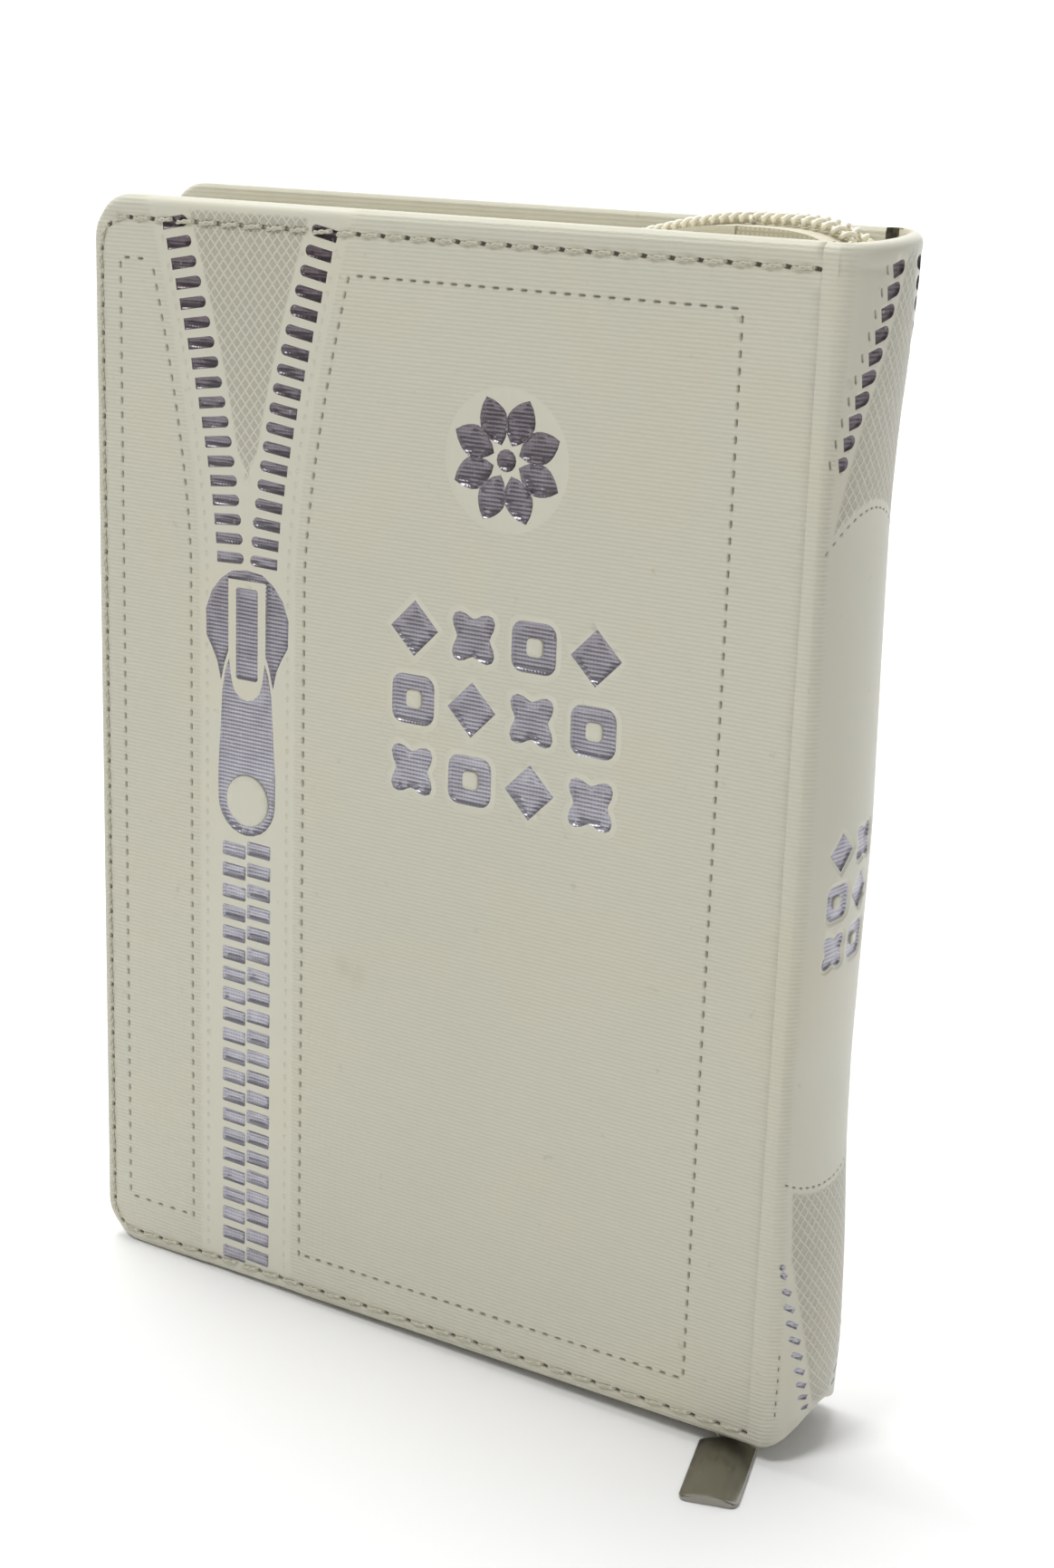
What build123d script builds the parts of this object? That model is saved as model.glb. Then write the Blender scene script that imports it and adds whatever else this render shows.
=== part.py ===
"""A zip-up prayer book: a padded case closed by a coil zipper round a sewn block of pages.

Millimetres, +Z up. X runs from the fore-edge to the spine, and the front cover faces -Y.
The book stands on its two lower fore-edge corners and on the zipper slider under the spine
end, so its lower edge rises gently towards the spine. The origin is at the middle of the
overall box, on the surface that the book stands on.
"""
import os
from math import cos, radians, sin

from build123d import *

os.makedirs("parts", exist_ok=True)

# ---------------------------------------------------------------- the case as a whole
case_height = 176.0          # from the standing surface to the top edge of the covers
cover_length = 127.0         # from the fore-edge to the fold at the spine
case_thickness = 22.0        # over both closed covers
spine_bulge = 6.0            # how far the rounded spine stands out past the folds
corner_radius = 7.0          # fore-edge corners of the covers
fold_corner_radius = 1.5     # corners of the covers beside the spine
lower_edge_rise = 2.35       # height of the lower edge at the fold above the surface
fold_gap = 0.3               # slit between a cover and the spine, bridged by the soft skin

# ---------------------------------------------------------------- layers of a cover
skin_thickness = 0.8
foam_thickness = 1.0
board_thickness = 1.4
lining_thickness = 0.3

# ---------------------------------------------------------------- edge stitching
stitch_pitch = 4.3
stitch_length = 3.3
stitch_inset = 2.6
thread_width = 0.5
thread_depth = 0.2

# ---------------------------------------------------------------- zipper chain
tape_thickness = 0.6
coil_width = 2.6             # of one half of the chain
coil_height = 1.6
coil_seat_gap = 0.1
chain_gap = 1.2              # slot between the halves, where the slider's web runs
lower_chain_inset = 4.0      # tape centre above the lower edge of the covers
fore_chain_inset = 4.0
top_chain_inset = 4.5
chain_corner_radius = 10.0
hump_rise = 0.8              # tape centre above the covers' top edge, beside the spine
hump_length = 31.0
end_length = 16.0            # the last stretch of chain, which stays with the spine
end_joint = 0.3
end_past_fold = 1.5          # how far the ends of the tape reach into the spine
end_dip = 3.8                # drop of the upper tape end below the covers' top edge
end_dip_angle = 35.0
end_tail_length = 4.5
tape_side_clearance = 0.3    # between the spine's stretch of tape and the cover linings
stop_length = 1.8

# ---------------------------------------------------------------- slider and pull
slider_length = 9.0
slider_park = 10.8           # slider's middle, measured back from the fold
plate_thickness = 1.0
flange_thickness = 0.7
web_thickness = 0.6
web_length = 5.0
slider_clearance = 0.3
bail_span = 5.0              # between the two legs
leg_radius = 0.7
strap_thickness = 0.8
lock_spring_thickness = 0.2
lock_spring_width = 1.0
link_wire = 0.8              # diameter
link_half_width = 1.9        # from the link's centre line to its wire's centre line
link_length = 8.0            # from the bail's leg to the pull's knuckle
link_corner_radius = 0.6
link_drop = 1.1
knuckle_radius = 0.8
knuckle_clearance = 0.08
knuckle_half_width = 1.1
pull_width = 8.8
pull_length = 18.0           # from the knuckle's axis to the tip
pull_thickness = 1.5
pull_corner_radius = 1.2
pull_neck = 1.2
pull_yaw = 18.0              # the pull's turn from straight ahead towards the spine side

# ---------------------------------------------------------------- page block
signature_count = 9
moving_signatures = 3        # on each side, the rest stay with the spine
flyleaf_thickness = 0.25
leaf_gap = 0.1
cover_gap = 0.225            # between a lining and its flyleaf
block_fore_inset = 9.0       # fore-edge of the pages behind the covers' fore-edge
block_lower_inset = 9.6
block_top_inset = 9.0
block_spine_inset = 7.0      # back of the outer signatures before the fold
glue_clearance = 0.4
mull_thickness = 0.4
mull_standoff = 0.9          # from the outer signature backs' axis past their rounding
band_radius = 0.6
hollow_wall = 0.3
hollow_half_width = 6.0
stiffener_thickness = 0.8

# ---------------------------------------------------------------- how far things open
signature_open_angles = (100.0, 80.0, 55.0)   # from the outer one inwards
turning_clearance = 0.05

# ================================================================ worked-out places
cover_thickness = skin_thickness + foam_thickness + board_thickness + lining_thickness
pull_reach = (
    (link_length + pull_length - pull_corner_radius) * cos(radians(pull_yaw))
    + (pull_width / 2 - pull_corner_radius) * sin(radians(pull_yaw))
    + pull_corner_radius
)
x_fore = -(cover_length + spine_bulge) / 2
x_fold = x_fore + cover_length
y_front = (pull_reach - 1.5 * case_thickness) / 2
y_back = y_front + case_thickness
y_mid = y_front + case_thickness / 2
y_inner = y_front + cover_thickness
mid_plane = Plane.XZ.offset(-y_mid)

edge_slope = lower_edge_rise / (cover_length - corner_radius)
chain_end_x = x_fold - end_length
tape_edge_y = y_mid - chain_gap / 2
coil_shift = (tape_thickness + coil_height) / 2 + coil_seat_gap

block_bottom = block_lower_inset
block_height = case_height - block_top_inset - block_lower_inset
block_fore_x = x_fore + block_fore_inset
block_room = case_thickness - 2 * (cover_thickness + cover_gap + flyleaf_thickness + leaf_gap)
signature_pitch = (block_room + leaf_gap) / signature_count
signature_thickness = signature_pitch - leaf_gap
flyleaf_y = y_inner + cover_gap + flyleaf_thickness / 2


def upright(y):
    """A plane facing the front at depth y, with X to the right and Z up."""
    return Plane.XZ.offset(-y)


def lower_edge(x):
    """Height of the covers' lower edge at x."""
    return (x - x_fore - corner_radius) * edge_slope


def pivot_step(half_widths, spacing, angle):
    """How far a page's turning axis sits towards the fore-edge from its outer neighbour's,
    so that the two lie clear of each other when the inner one stands at the angle."""
    turn = radians(angle)
    return (half_widths + turning_clearance - spacing * cos(turn)) / sin(turn)


def finish(piece, name):
    """Label a finished piece and write it."""
    piece.part.label = name
    export_step(piece.part, f"parts/{name}.step")


# ================================================================ covers
def cover_outline(inset):
    """Outline of a cover, drawn in an upright plane and pulled in by the inset."""
    x_edge = x_fold - fold_gap
    with BuildSketch() as outline:
        with BuildLine():
            Polyline(
                (x_fore, lower_edge(x_fore)),
                (x_edge, lower_edge(x_edge)),
                (x_edge, case_height),
                (x_fore, case_height),
                close=True,
            )
        make_face()
        fillet(outline.vertices().group_by(Axis.X)[-1], fold_corner_radius)
        fillet(outline.vertices().group_by(Axis.X)[0], corner_radius)
        if inset > 0:
            offset(amount=-inset, mode=Mode.REPLACE)
    return outline.sketch


def cover_layer(depth, thickness):
    """One flat layer inside the skin, from the depth behind the front face."""
    with BuildPart() as layer:
        with BuildSketch(upright(y_front + depth + thickness)):
            add(cover_outline(skin_thickness))
        extrude(amount=thickness)
    return layer


# Stitches follow the lower edge, the fore-edge and the top edge, and stop at the fold.
# They are pulled down flush into the skin, each in its own dent.
with BuildLine() as seam:
    FilletPolyline(
        (x_fold - stitch_inset, lower_edge(x_fold) + stitch_inset),
        (x_fore + stitch_inset, lower_edge(x_fore) + stitch_inset),
        (x_fore + stitch_inset, case_height - stitch_inset),
        (x_fold - stitch_inset, case_height - stitch_inset),
        radius=corner_radius - stitch_inset,
    )
seam_wire = seam.wire()
stitch_count = int(seam_wire.length / stitch_pitch)

with BuildSketch() as stitch_outlines:
    for stitch in range(stitch_count):
        along = (stitch + 0.5) / stitch_count
        with Locations(seam_wire @ along):
            SlotOverall(
                stitch_length, thread_width, rotation=seam_wire.tangent_angle_at(along)
            )

with BuildPart() as cover_stitching:
    with BuildSketch(upright(y_front + thread_depth)):
        add(stitch_outlines.sketch)
    extrude(amount=thread_depth)

with BuildPart() as cover_skin:
    with BuildSketch(upright(y_inner)):
        add(cover_outline(0))
    extrude(amount=cover_thickness)
    with BuildSketch(upright(y_inner)):
        add(cover_outline(skin_thickness))
    extrude(amount=cover_thickness - skin_thickness, mode=Mode.SUBTRACT)
    with BuildSketch(upright(y_front + thread_depth)):
        add(stitch_outlines.sketch)
    extrude(amount=thread_depth, mode=Mode.SUBTRACT)

cover_padding = cover_layer(skin_thickness, foam_thickness)
cover_board = cover_layer(skin_thickness + foam_thickness, board_thickness)
cover_lining = cover_layer(cover_thickness - lining_thickness, lining_thickness)

# ================================================================ zipper on the covers
def chain_path(shift):
    """Centre line of the tape round the three open sides, moved outwards by the shift."""
    x_left = x_fore + fore_chain_inset - shift
    z_low = lower_chain_inset - shift
    z_top = case_height - top_chain_inset + shift
    x_ramp = chain_end_x - end_joint - hump_length
    x_end = chain_end_x - end_joint
    with BuildLine() as path:
        FilletPolyline(
            (x_end, lower_edge(x_end) + z_low),
            (x_left, lower_edge(x_left) + z_low),
            (x_left, z_top),
            (x_ramp, z_top),
            radius=chain_corner_radius + shift,
        )
        Spline(
            (x_ramp, z_top),
            (x_end, case_height + hump_rise + shift),
            tangents=((1, 0), (1, 0)),
        )
    return path.wire()


with BuildPart() as cover_tape:
    with BuildSketch(upright(tape_edge_y)):
        trace(chain_path(0), line_width=tape_thickness)
    extrude(amount=tape_edge_y - y_inner)

with BuildPart() as cover_coil:
    with BuildSketch(upright(tape_edge_y)):
        trace(chain_path(coil_shift), line_width=coil_height)
    extrude(amount=coil_width)

front_pieces = {
    "cover_skin": cover_skin,
    "cover_padding": cover_padding,
    "cover_board": cover_board,
    "cover_lining": cover_lining,
    "cover_stitching": cover_stitching,
    "zipper_tape": cover_tape,
    "zipper_coil": cover_coil,
}
for piece_name, front_piece in front_pieces.items():
    with BuildPart() as back_piece:
        mirror(front_piece.part, about=mid_plane)
    finish(front_piece, f"front_{piece_name}")
    finish(back_piece, f"back_{piece_name}")


# ================================================================ spine
def spine_shell(inset, thickness, bottom, height):
    """One layer of the rounded spine, between the two folds."""
    with BuildPart() as shell:
        with BuildSketch(Plane.XY.offset(bottom)):
            with Locations((x_fold, y_mid)):
                Ellipse(spine_bulge - inset, case_thickness / 2 - inset)
                Ellipse(
                    spine_bulge - inset - thickness,
                    case_thickness / 2 - inset - thickness,
                    mode=Mode.SUBTRACT,
                )
            with Locations((x_fold + spine_bulge / 2, y_mid)):
                Rectangle(spine_bulge, case_thickness, mode=Mode.INTERSECT)
        extrude(amount=height)
    return shell


spine_bottom = lower_edge(x_fold)
spine_height = case_height - spine_bottom
spine_inner_inset = skin_thickness + stiffener_thickness

spine_skin = spine_shell(0, skin_thickness, spine_bottom, spine_height)
finish(spine_skin, "spine_skin")

spine_stiffener = spine_shell(
    skin_thickness,
    stiffener_thickness,
    spine_bottom + skin_thickness,
    spine_height - 2 * skin_thickness,
)
finish(spine_stiffener, "spine_stiffener")

spine_lining = spine_shell(
    spine_inner_inset,
    lining_thickness,
    spine_bottom + skin_thickness,
    spine_height - 2 * skin_thickness,
)
finish(spine_lining, "spine_lining")


# ================================================================ zipper ends at the spine
def end_strip(path, line_width, y_low, y_high, name):
    """A strip that follows a path and fills the depth between two values of y."""
    with BuildPart() as strip:
        with BuildSketch(upright(y_high)):
            trace(path, line_width=line_width)
        extrude(amount=y_high - y_low)
    finish(strip, name)


def lower_end_path(shift, x_end):
    """The straight lower run, from the covers' chain to x_end."""
    z_run = lower_chain_inset - shift
    with BuildLine() as path:
        Line(
            (chain_end_x, lower_edge(chain_end_x) + z_run),
            (x_end, lower_edge(x_end) + z_run),
        )
    return path.wire()


tail_angle = radians(end_dip_angle)
tail_end = Vector(x_fold + end_past_fold, case_height - end_dip)
tail_start = tail_end - Vector(cos(tail_angle), -sin(tail_angle)) * end_tail_length


def tail_point(along, shift):
    """A point of the upper tape's straight tail, moved outwards by the shift."""
    outwards = Vector(sin(tail_angle), cos(tail_angle)) * shift
    return tail_start + Vector(cos(tail_angle), -sin(tail_angle)) * along + outwards


def upper_end_path(shift, tail_length):
    """Over the hump and down into the spine, with the given length of straight tail."""
    with BuildLine() as path:
        Spline(
            (chain_end_x, case_height + hump_rise + shift),
            tail_point(0, shift),
            tangents=((1, 0), (cos(tail_angle), -sin(tail_angle))),
        )
        Line(tail_point(0, shift), tail_point(tail_length, shift))
    return path.wire()


slider_x = x_fold - slider_park
lower_stop_x = slider_x + slider_length / 2 + slider_clearance
tape_low_y = y_inner + tape_side_clearance
tape_high_y = y_back - cover_thickness - tape_side_clearance
slot_end_x = lower_stop_x + stop_length
tail_stop_start = end_tail_length / 4

with BuildPart() as lower_end_tape:
    with BuildSketch(upright(tape_high_y)):
        trace(lower_end_path(0, x_fold + end_past_fold), line_width=tape_thickness)
    extrude(amount=tape_high_y - tape_low_y)
    with BuildSketch(Plane.XY.offset(spine_bottom)):
        with Locations(((chain_end_x + slot_end_x) / 2, y_mid)):
            Rectangle(slot_end_x - chain_end_x, chain_gap)
    extrude(amount=2 * lower_chain_inset, mode=Mode.SUBTRACT)
finish(lower_end_tape, "lower_end_tape")

end_strip(
    upper_end_path(0, end_tail_length), tape_thickness, tape_low_y, tape_high_y, "upper_end_tape"
)

coil_low_y = tape_edge_y - coil_width
coil_high_y = 2 * y_mid - coil_low_y
for run_name, coil_path in {
    "lower": lower_end_path(coil_shift, lower_stop_x),
    "upper": upper_end_path(coil_shift, tail_stop_start / 2),
}.items():
    with BuildPart() as end_coil:
        with BuildSketch(upright(tape_edge_y)):
            trace(coil_path, line_width=coil_height)
        extrude(amount=coil_width)
        mirror(about=mid_plane)
    finish(end_coil, f"{run_name}_end_coil")

with BuildLine() as lower_stop_line:
    Line(
        (lower_stop_x, lower_edge(lower_stop_x) + lower_chain_inset - coil_shift),
        (slot_end_x, lower_edge(slot_end_x) + lower_chain_inset - coil_shift),
    )
end_strip(lower_stop_line.wire(), coil_height, coil_low_y, coil_high_y, "lower_stop")

with BuildLine() as upper_stop_line:
    Line(
        tail_point(tail_stop_start, coil_shift),
        tail_point(tail_stop_start + stop_length, coil_shift),
    )
end_strip(upper_stop_line.wire(), coil_height, coil_low_y, coil_high_y, "upper_stop")

# ================================================================ page block
flyleaf_half = flyleaf_thickness / 2
signature_half = signature_thickness / 2
outer_back_x = x_fold - block_spine_inset
flyleaf_step = pivot_step(
    flyleaf_half + signature_half,
    flyleaf_half + leaf_gap + signature_half,
    signature_open_angles[0],
)
flyleaf_back_x = outer_back_x + flyleaf_step

back_axes = [outer_back_x]
for open_angle in signature_open_angles[1:]:
    back_axes.append(
        back_axes[-1] - pivot_step(signature_thickness, signature_pitch, open_angle)
    )
fixed_back_x = back_axes[-1] - pivot_step(signature_thickness, signature_pitch, 90)


def signature_back_x(number):
    """The turning axis of a signature, counted from the front, starting at 1."""
    from_outside = min(number, signature_count + 1 - number)
    return back_axes[from_outside - 1] if from_outside <= moving_signatures else fixed_back_x


def signature_y(number):
    """The middle plane of a signature."""
    return y_mid + (number - (signature_count + 1) / 2) * signature_pitch


def page_piece(axis_x, y, thickness, name):
    """A bundle of sheets with a rounded back that turns about its own axis."""
    with BuildPart() as pages:
        with BuildSketch(Plane.XY.offset(block_bottom)):
            with Locations(((block_fore_x + axis_x) / 2, y)):
                Rectangle(axis_x - block_fore_x, thickness)
            with Locations((axis_x, y)):
                Circle(thickness / 2)
        extrude(amount=block_height)
    finish(pages, name)


page_piece(flyleaf_back_x, flyleaf_y, flyleaf_thickness, "front_flyleaf")
page_piece(flyleaf_back_x, 2 * y_mid - flyleaf_y, flyleaf_thickness, "back_flyleaf")
for number in range(1, signature_count + 1):
    page_piece(
        signature_back_x(number), signature_y(number), signature_thickness, f"signature_{number}"
    )

mull_x = outer_back_x + signature_half + mull_standoff
mull_width = signature_count * signature_pitch - leaf_gap
band_y_low = y_mid - mull_width / 2

with BuildPart() as spine_glue:
    with BuildSketch(Plane.XY.offset(block_bottom)):
        for number in range(1, signature_count + 1):
            strip_x = signature_back_x(number) + signature_half + glue_clearance
            with Locations(((strip_x + mull_x) / 2, signature_y(number))):
                Rectangle(mull_x - strip_x, signature_pitch)
    extrude(amount=block_height)
finish(spine_glue, "spine_glue")

with BuildPart() as mull:
    with BuildSketch(Plane.XY.offset(block_bottom - 2 * band_radius)):
        with Locations((mull_x + mull_thickness / 2, y_mid)):
            Rectangle(mull_thickness, mull_width)
    extrude(amount=block_height + 4 * band_radius)
finish(mull, "mull")

for band_name, band_z in {
    "tail_band": block_bottom - band_radius,
    "head_band": block_bottom + block_height + band_radius,
}.items():
    with BuildPart() as band:
        with BuildSketch(upright(band_y_low + mull_width)):
            with Locations((mull_x - band_radius, band_z)):
                Circle(band_radius)
        extrude(amount=mull_width)
    finish(band, band_name)

# The paper hollow joins the mull to the inside of the spine.
hollow_x = mull_x + mull_thickness
lining_inset = spine_inner_inset + lining_thickness
spine_inner_half = case_thickness / 2 - lining_inset
hollow_share = (1 - (hollow_half_width / spine_inner_half) ** 2) ** 0.5
hollow_end_x = x_fold + (spine_bulge - lining_inset) * hollow_share
hollow_length = hollow_end_x - hollow_x

with BuildPart() as spine_hollow:
    with BuildSketch(Plane.XY.offset(block_bottom)):
        with Locations((hollow_x + hollow_length / 2, y_mid)):
            Rectangle(hollow_length, 2 * hollow_half_width)
            Rectangle(
                hollow_length - 2 * hollow_wall,
                2 * (hollow_half_width - hollow_wall),
                mode=Mode.SUBTRACT,
            )
    extrude(amount=block_height)
finish(spine_hollow, "spine_hollow")

# ================================================================ slider
tape_z = lower_edge(slider_x) + lower_chain_inset
outer_plate_top = tape_z - coil_shift - coil_height / 2 - slider_clearance
outer_plate_bottom = outer_plate_top - plate_thickness
inner_plate_bottom = tape_z + tape_thickness / 2 + slider_clearance
flange_top = tape_z - tape_thickness / 2 - slider_clearance
channel_half = chain_gap / 2 + coil_width + slider_clearance
slider_half_width = channel_half + flange_thickness
leg_x = slider_x + bail_span / 2

with BuildPart() as slider_body:
    for plate_bottom in (outer_plate_bottom, inner_plate_bottom):
        with BuildSketch(Plane.XY.offset(plate_bottom)):
            with Locations((slider_x, y_mid)):
                RectangleRounded(slider_length, 2 * slider_half_width, flange_thickness)
        extrude(amount=plate_thickness)
    with BuildSketch(Plane.XY.offset(outer_plate_top)):
        for side in (-1, 1):
            with Locations((slider_x, y_mid + side * (channel_half + flange_thickness / 2))):
                Rectangle(slider_length - 2 * flange_thickness, flange_thickness)
    extrude(amount=flange_top - outer_plate_top)
    with BuildSketch(Plane.XY.offset(outer_plate_top)):
        with Locations((slider_x, y_mid)):
            SlotOverall(web_length, web_thickness)
    extrude(amount=inner_plate_bottom - outer_plate_top)
finish(slider_body, "slider_body")

with BuildPart() as slider_bail:
    with BuildSketch():
        with Locations((slider_x, y_mid)):
            SlotCenterToCenter(bail_span, 2 * leg_radius)
    extrude(amount=strap_thickness)
    with BuildSketch(Plane.XY.offset(strap_thickness)):
        with Locations((slider_x, y_mid)):
            with GridLocations(bail_span, 0, 2, 1):
                Circle(leg_radius)
    extrude(amount=outer_plate_bottom - strap_thickness)
finish(slider_bail, "slider_bail")

with BuildPart() as slider_lock_spring:
    with BuildSketch(Plane.XY.offset(outer_plate_bottom - lock_spring_thickness)):
        with Locations((slider_x, y_mid)):
            Rectangle(bail_span - 4 * leg_radius, lock_spring_width)
    extrude(amount=lock_spring_thickness)
finish(slider_lock_spring, "slider_lock_spring")

# ================================================================ pull
pull_forward = Vector(sin(radians(pull_yaw)), -cos(radians(pull_yaw)), 0)
pull_side = Vector(cos(radians(pull_yaw)), sin(radians(pull_yaw)), 0)
knuckle_point = Vector(leg_x, y_mid, knuckle_radius) + pull_forward * link_length
link_start = Vector(leg_x, y_mid, knuckle_radius + link_drop)
link_slope = knuckle_point - link_start
link_reach = link_slope.length
link_plane = Plane(origin=link_start, x_dir=link_slope, z_dir=pull_side.cross(link_slope) * -1)

with BuildPart() as pull_link:
    with BuildLine(link_plane) as link_path:
        Line((0, link_half_width), (link_reach - link_corner_radius, link_half_width))
        RadiusArc(
            (link_reach - link_corner_radius, link_half_width),
            (link_reach, link_half_width - link_corner_radius),
            link_corner_radius,
        )
        Line(
            (link_reach, link_half_width - link_corner_radius),
            (link_reach, link_corner_radius - link_half_width),
        )
        RadiusArc(
            (link_reach, link_corner_radius - link_half_width),
            (link_reach - link_corner_radius, -link_half_width),
            link_corner_radius,
        )
        Line((link_reach - link_corner_radius, -link_half_width), (0, -link_half_width))
        RadiusArc((0, -link_half_width), (0, link_half_width), link_half_width)
    with BuildSketch(Plane(origin=link_path.line @ 0, z_dir=link_path.line % 0)):
        Circle(link_wire / 2)
    sweep(path=link_path.line)
finish(pull_link, "pull_link")

pull_plane = Plane(
    origin=(knuckle_point.X, knuckle_point.Y, 0), x_dir=pull_forward, z_dir=(0, 0, 1)
)
blade_start = link_wire / 2 + pull_neck
blade_length = pull_length - blade_start
knuckle_plane = Plane(origin=knuckle_point, z_dir=pull_side)

with BuildPart() as pull_tab:
    with BuildSketch(pull_plane):
        with Locations((blade_start + blade_length / 2, 0)):
            RectangleRounded(blade_length, pull_width, pull_corner_radius)
        with Locations(((blade_start + pull_corner_radius) / 2, 0)):
            Rectangle(blade_start + pull_corner_radius, 2 * knuckle_half_width)
    extrude(amount=pull_thickness)
    with BuildSketch(knuckle_plane):
        Circle(knuckle_radius)
    extrude(amount=knuckle_half_width, both=True)
    with BuildSketch(knuckle_plane):
        Circle(link_wire / 2 + knuckle_clearance)
    extrude(amount=knuckle_half_width, both=True, mode=Mode.SUBTRACT)
finish(pull_tab, "pull_tab")
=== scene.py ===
"""Looks of the zip-up prayer book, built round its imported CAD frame.

Drawn sizes are in millimetres and become metres as each mesh is made. The case's soft skin is
drawn flat, in the distance "along" it from the front cover's fore-edge and the height "up" it
from 0 to the covers' height, and is then laid over the covers and the rounded spine.
"""
from math import atan2, ceil, cos, pi, radians, sin, tau

import bmesh
import bpy
import numpy as np
from mathutils import Matrix, Vector
from mathutils.geometry import delaunay_2d_cdt


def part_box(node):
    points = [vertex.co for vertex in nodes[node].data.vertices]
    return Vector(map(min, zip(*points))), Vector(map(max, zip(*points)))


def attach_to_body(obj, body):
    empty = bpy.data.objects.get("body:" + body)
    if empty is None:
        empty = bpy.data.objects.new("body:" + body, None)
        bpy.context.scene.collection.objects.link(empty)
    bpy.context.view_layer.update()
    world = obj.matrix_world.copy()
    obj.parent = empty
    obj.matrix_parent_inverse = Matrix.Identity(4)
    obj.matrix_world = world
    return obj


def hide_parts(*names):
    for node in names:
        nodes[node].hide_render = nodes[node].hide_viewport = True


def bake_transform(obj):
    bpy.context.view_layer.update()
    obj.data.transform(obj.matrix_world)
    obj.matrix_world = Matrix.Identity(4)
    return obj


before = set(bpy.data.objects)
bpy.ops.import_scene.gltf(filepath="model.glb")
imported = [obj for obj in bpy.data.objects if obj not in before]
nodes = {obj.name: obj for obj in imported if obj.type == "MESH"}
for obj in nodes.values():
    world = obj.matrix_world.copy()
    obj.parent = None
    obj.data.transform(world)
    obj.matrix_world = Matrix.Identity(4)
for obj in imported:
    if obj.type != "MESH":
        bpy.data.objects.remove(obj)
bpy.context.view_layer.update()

MM = 0.001

# ------------------------------------------------------------------ sizes read from the frame


def box_mm(node):
    """A CAD node's lowest and highest corners in millimetres."""
    low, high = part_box(node)
    return low / MM, high / MM


cover_low, cover_high = box_mm("front_cover_skin")
spine_low, spine_high = box_mm("spine_skin")
lining_low, _ = box_mm("front_cover_lining")
chain_end = box_mm("front_zipper_coil")[1].x
end_coil_end = box_mm("lower_end_coil")[1].x
pull_thickness = box_mm("pull_tab")[1].z
x_fore = cover_low.x
x_fold = spine_low.x
y_front = cover_low.y
y_back = spine_high.y
y_mid = (y_front + y_back) / 2
half_thickness = (y_back - y_front) / 2
cover_length = x_fold - x_fore
cover_thickness = cover_high.y - cover_low.y
skin_inset = lining_low.x - x_fore
book_height = cover_high.z
spine_rise = spine_low.z
spine_bulge = spine_high.x - x_fold
spine_wall = x_fold + spine_bulge - box_mm("spine_lining")[1].x + 0.3

# ------------------------------------------------------------------ sizes of the soft skin
corner_radius = 7.0
rim_radius = 1.5
rim_steps = (0.0, 0.06, 0.22, 0.5, 0.95, 1.5)
hinge_reach = 1.4            # the skin bends from this far on the cover to spine_start
spine_start = 1.0
spine_levels = (0, 14, 29, 43, 57, 92, 124, 138, 149, 161, 176)      # heights up the spine
spine_bulges = (4.9, 5.5, 4.8, 3.5, 3.0, 4.2, 3.1, 2.7, 3.4, 4.8, 5.8)  # how far it stands out
spine_corner_lift = 4.2      # the lower edge rises by this much at the spine's middle
spine_corner_reach = 14.0
back_rise = 1.3              # the back cover's soft top edge stands above the front one's
grid_pitch = 1.6
seam_fore, seam_low, seam_top = 1.9, 2.2, 3.5
seam_groove = 0.22
seam_groove_width = 0.75
stitch_pitch = 4.3

# ------------------------------------------------------------------ the pressed zipper motif
motif_centre = 30.9
slider_foot = 77.7
flare_start = 120.0
flare_reach = 10.2
band_half = 9.2
tick_half = 8.0
frame_half = 11.2
frame_left, frame_right, frame_top = 5.7, 114.4, 166.5
left_low, right_low = 8.7, 7.7
frame_mark = (2.3, 1.4, 0.62, 0.42)    # pitch, length, width and depth of the frame's marks
hatch_apex = 134.5
hatch_pitch = 1.3
foil_depth = 0.3


# ================================================================== the skin as one long strip
def arc_table():
    """Turn about the spine's ellipse against the distance round it."""
    turns = np.linspace(0, pi, 400)
    steps = np.hypot(
        np.diff(spine_bulge * np.sin(turns)), np.diff(half_thickness * np.cos(turns))
    )
    return turns, np.concatenate([[0], np.cumsum(steps)])


spine_turns, spine_arcs = arc_table()
spine_arc = spine_arcs[-1]
strip_length = 2 * cover_length + spine_arc


def smooth(x):
    """A soft step from 0 to 1."""
    x = np.clip(x, 0, 1)
    return x * x * (3 - 2 * x)


def bulge_curve():
    """The spine's bulge up its height, eased between its levels."""
    heights = np.linspace(0, book_height, 353)
    window = np.hanning(27)
    straight = np.pad(np.interp(heights, spine_levels, spine_bulges), 13, mode="edge")
    return heights, np.convolve(straight, window / window.sum(), "valid")


bulge_heights, bulge_values = bulge_curve()


def bulge_at(up):
    return np.interp(up, bulge_heights, bulge_values)


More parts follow.
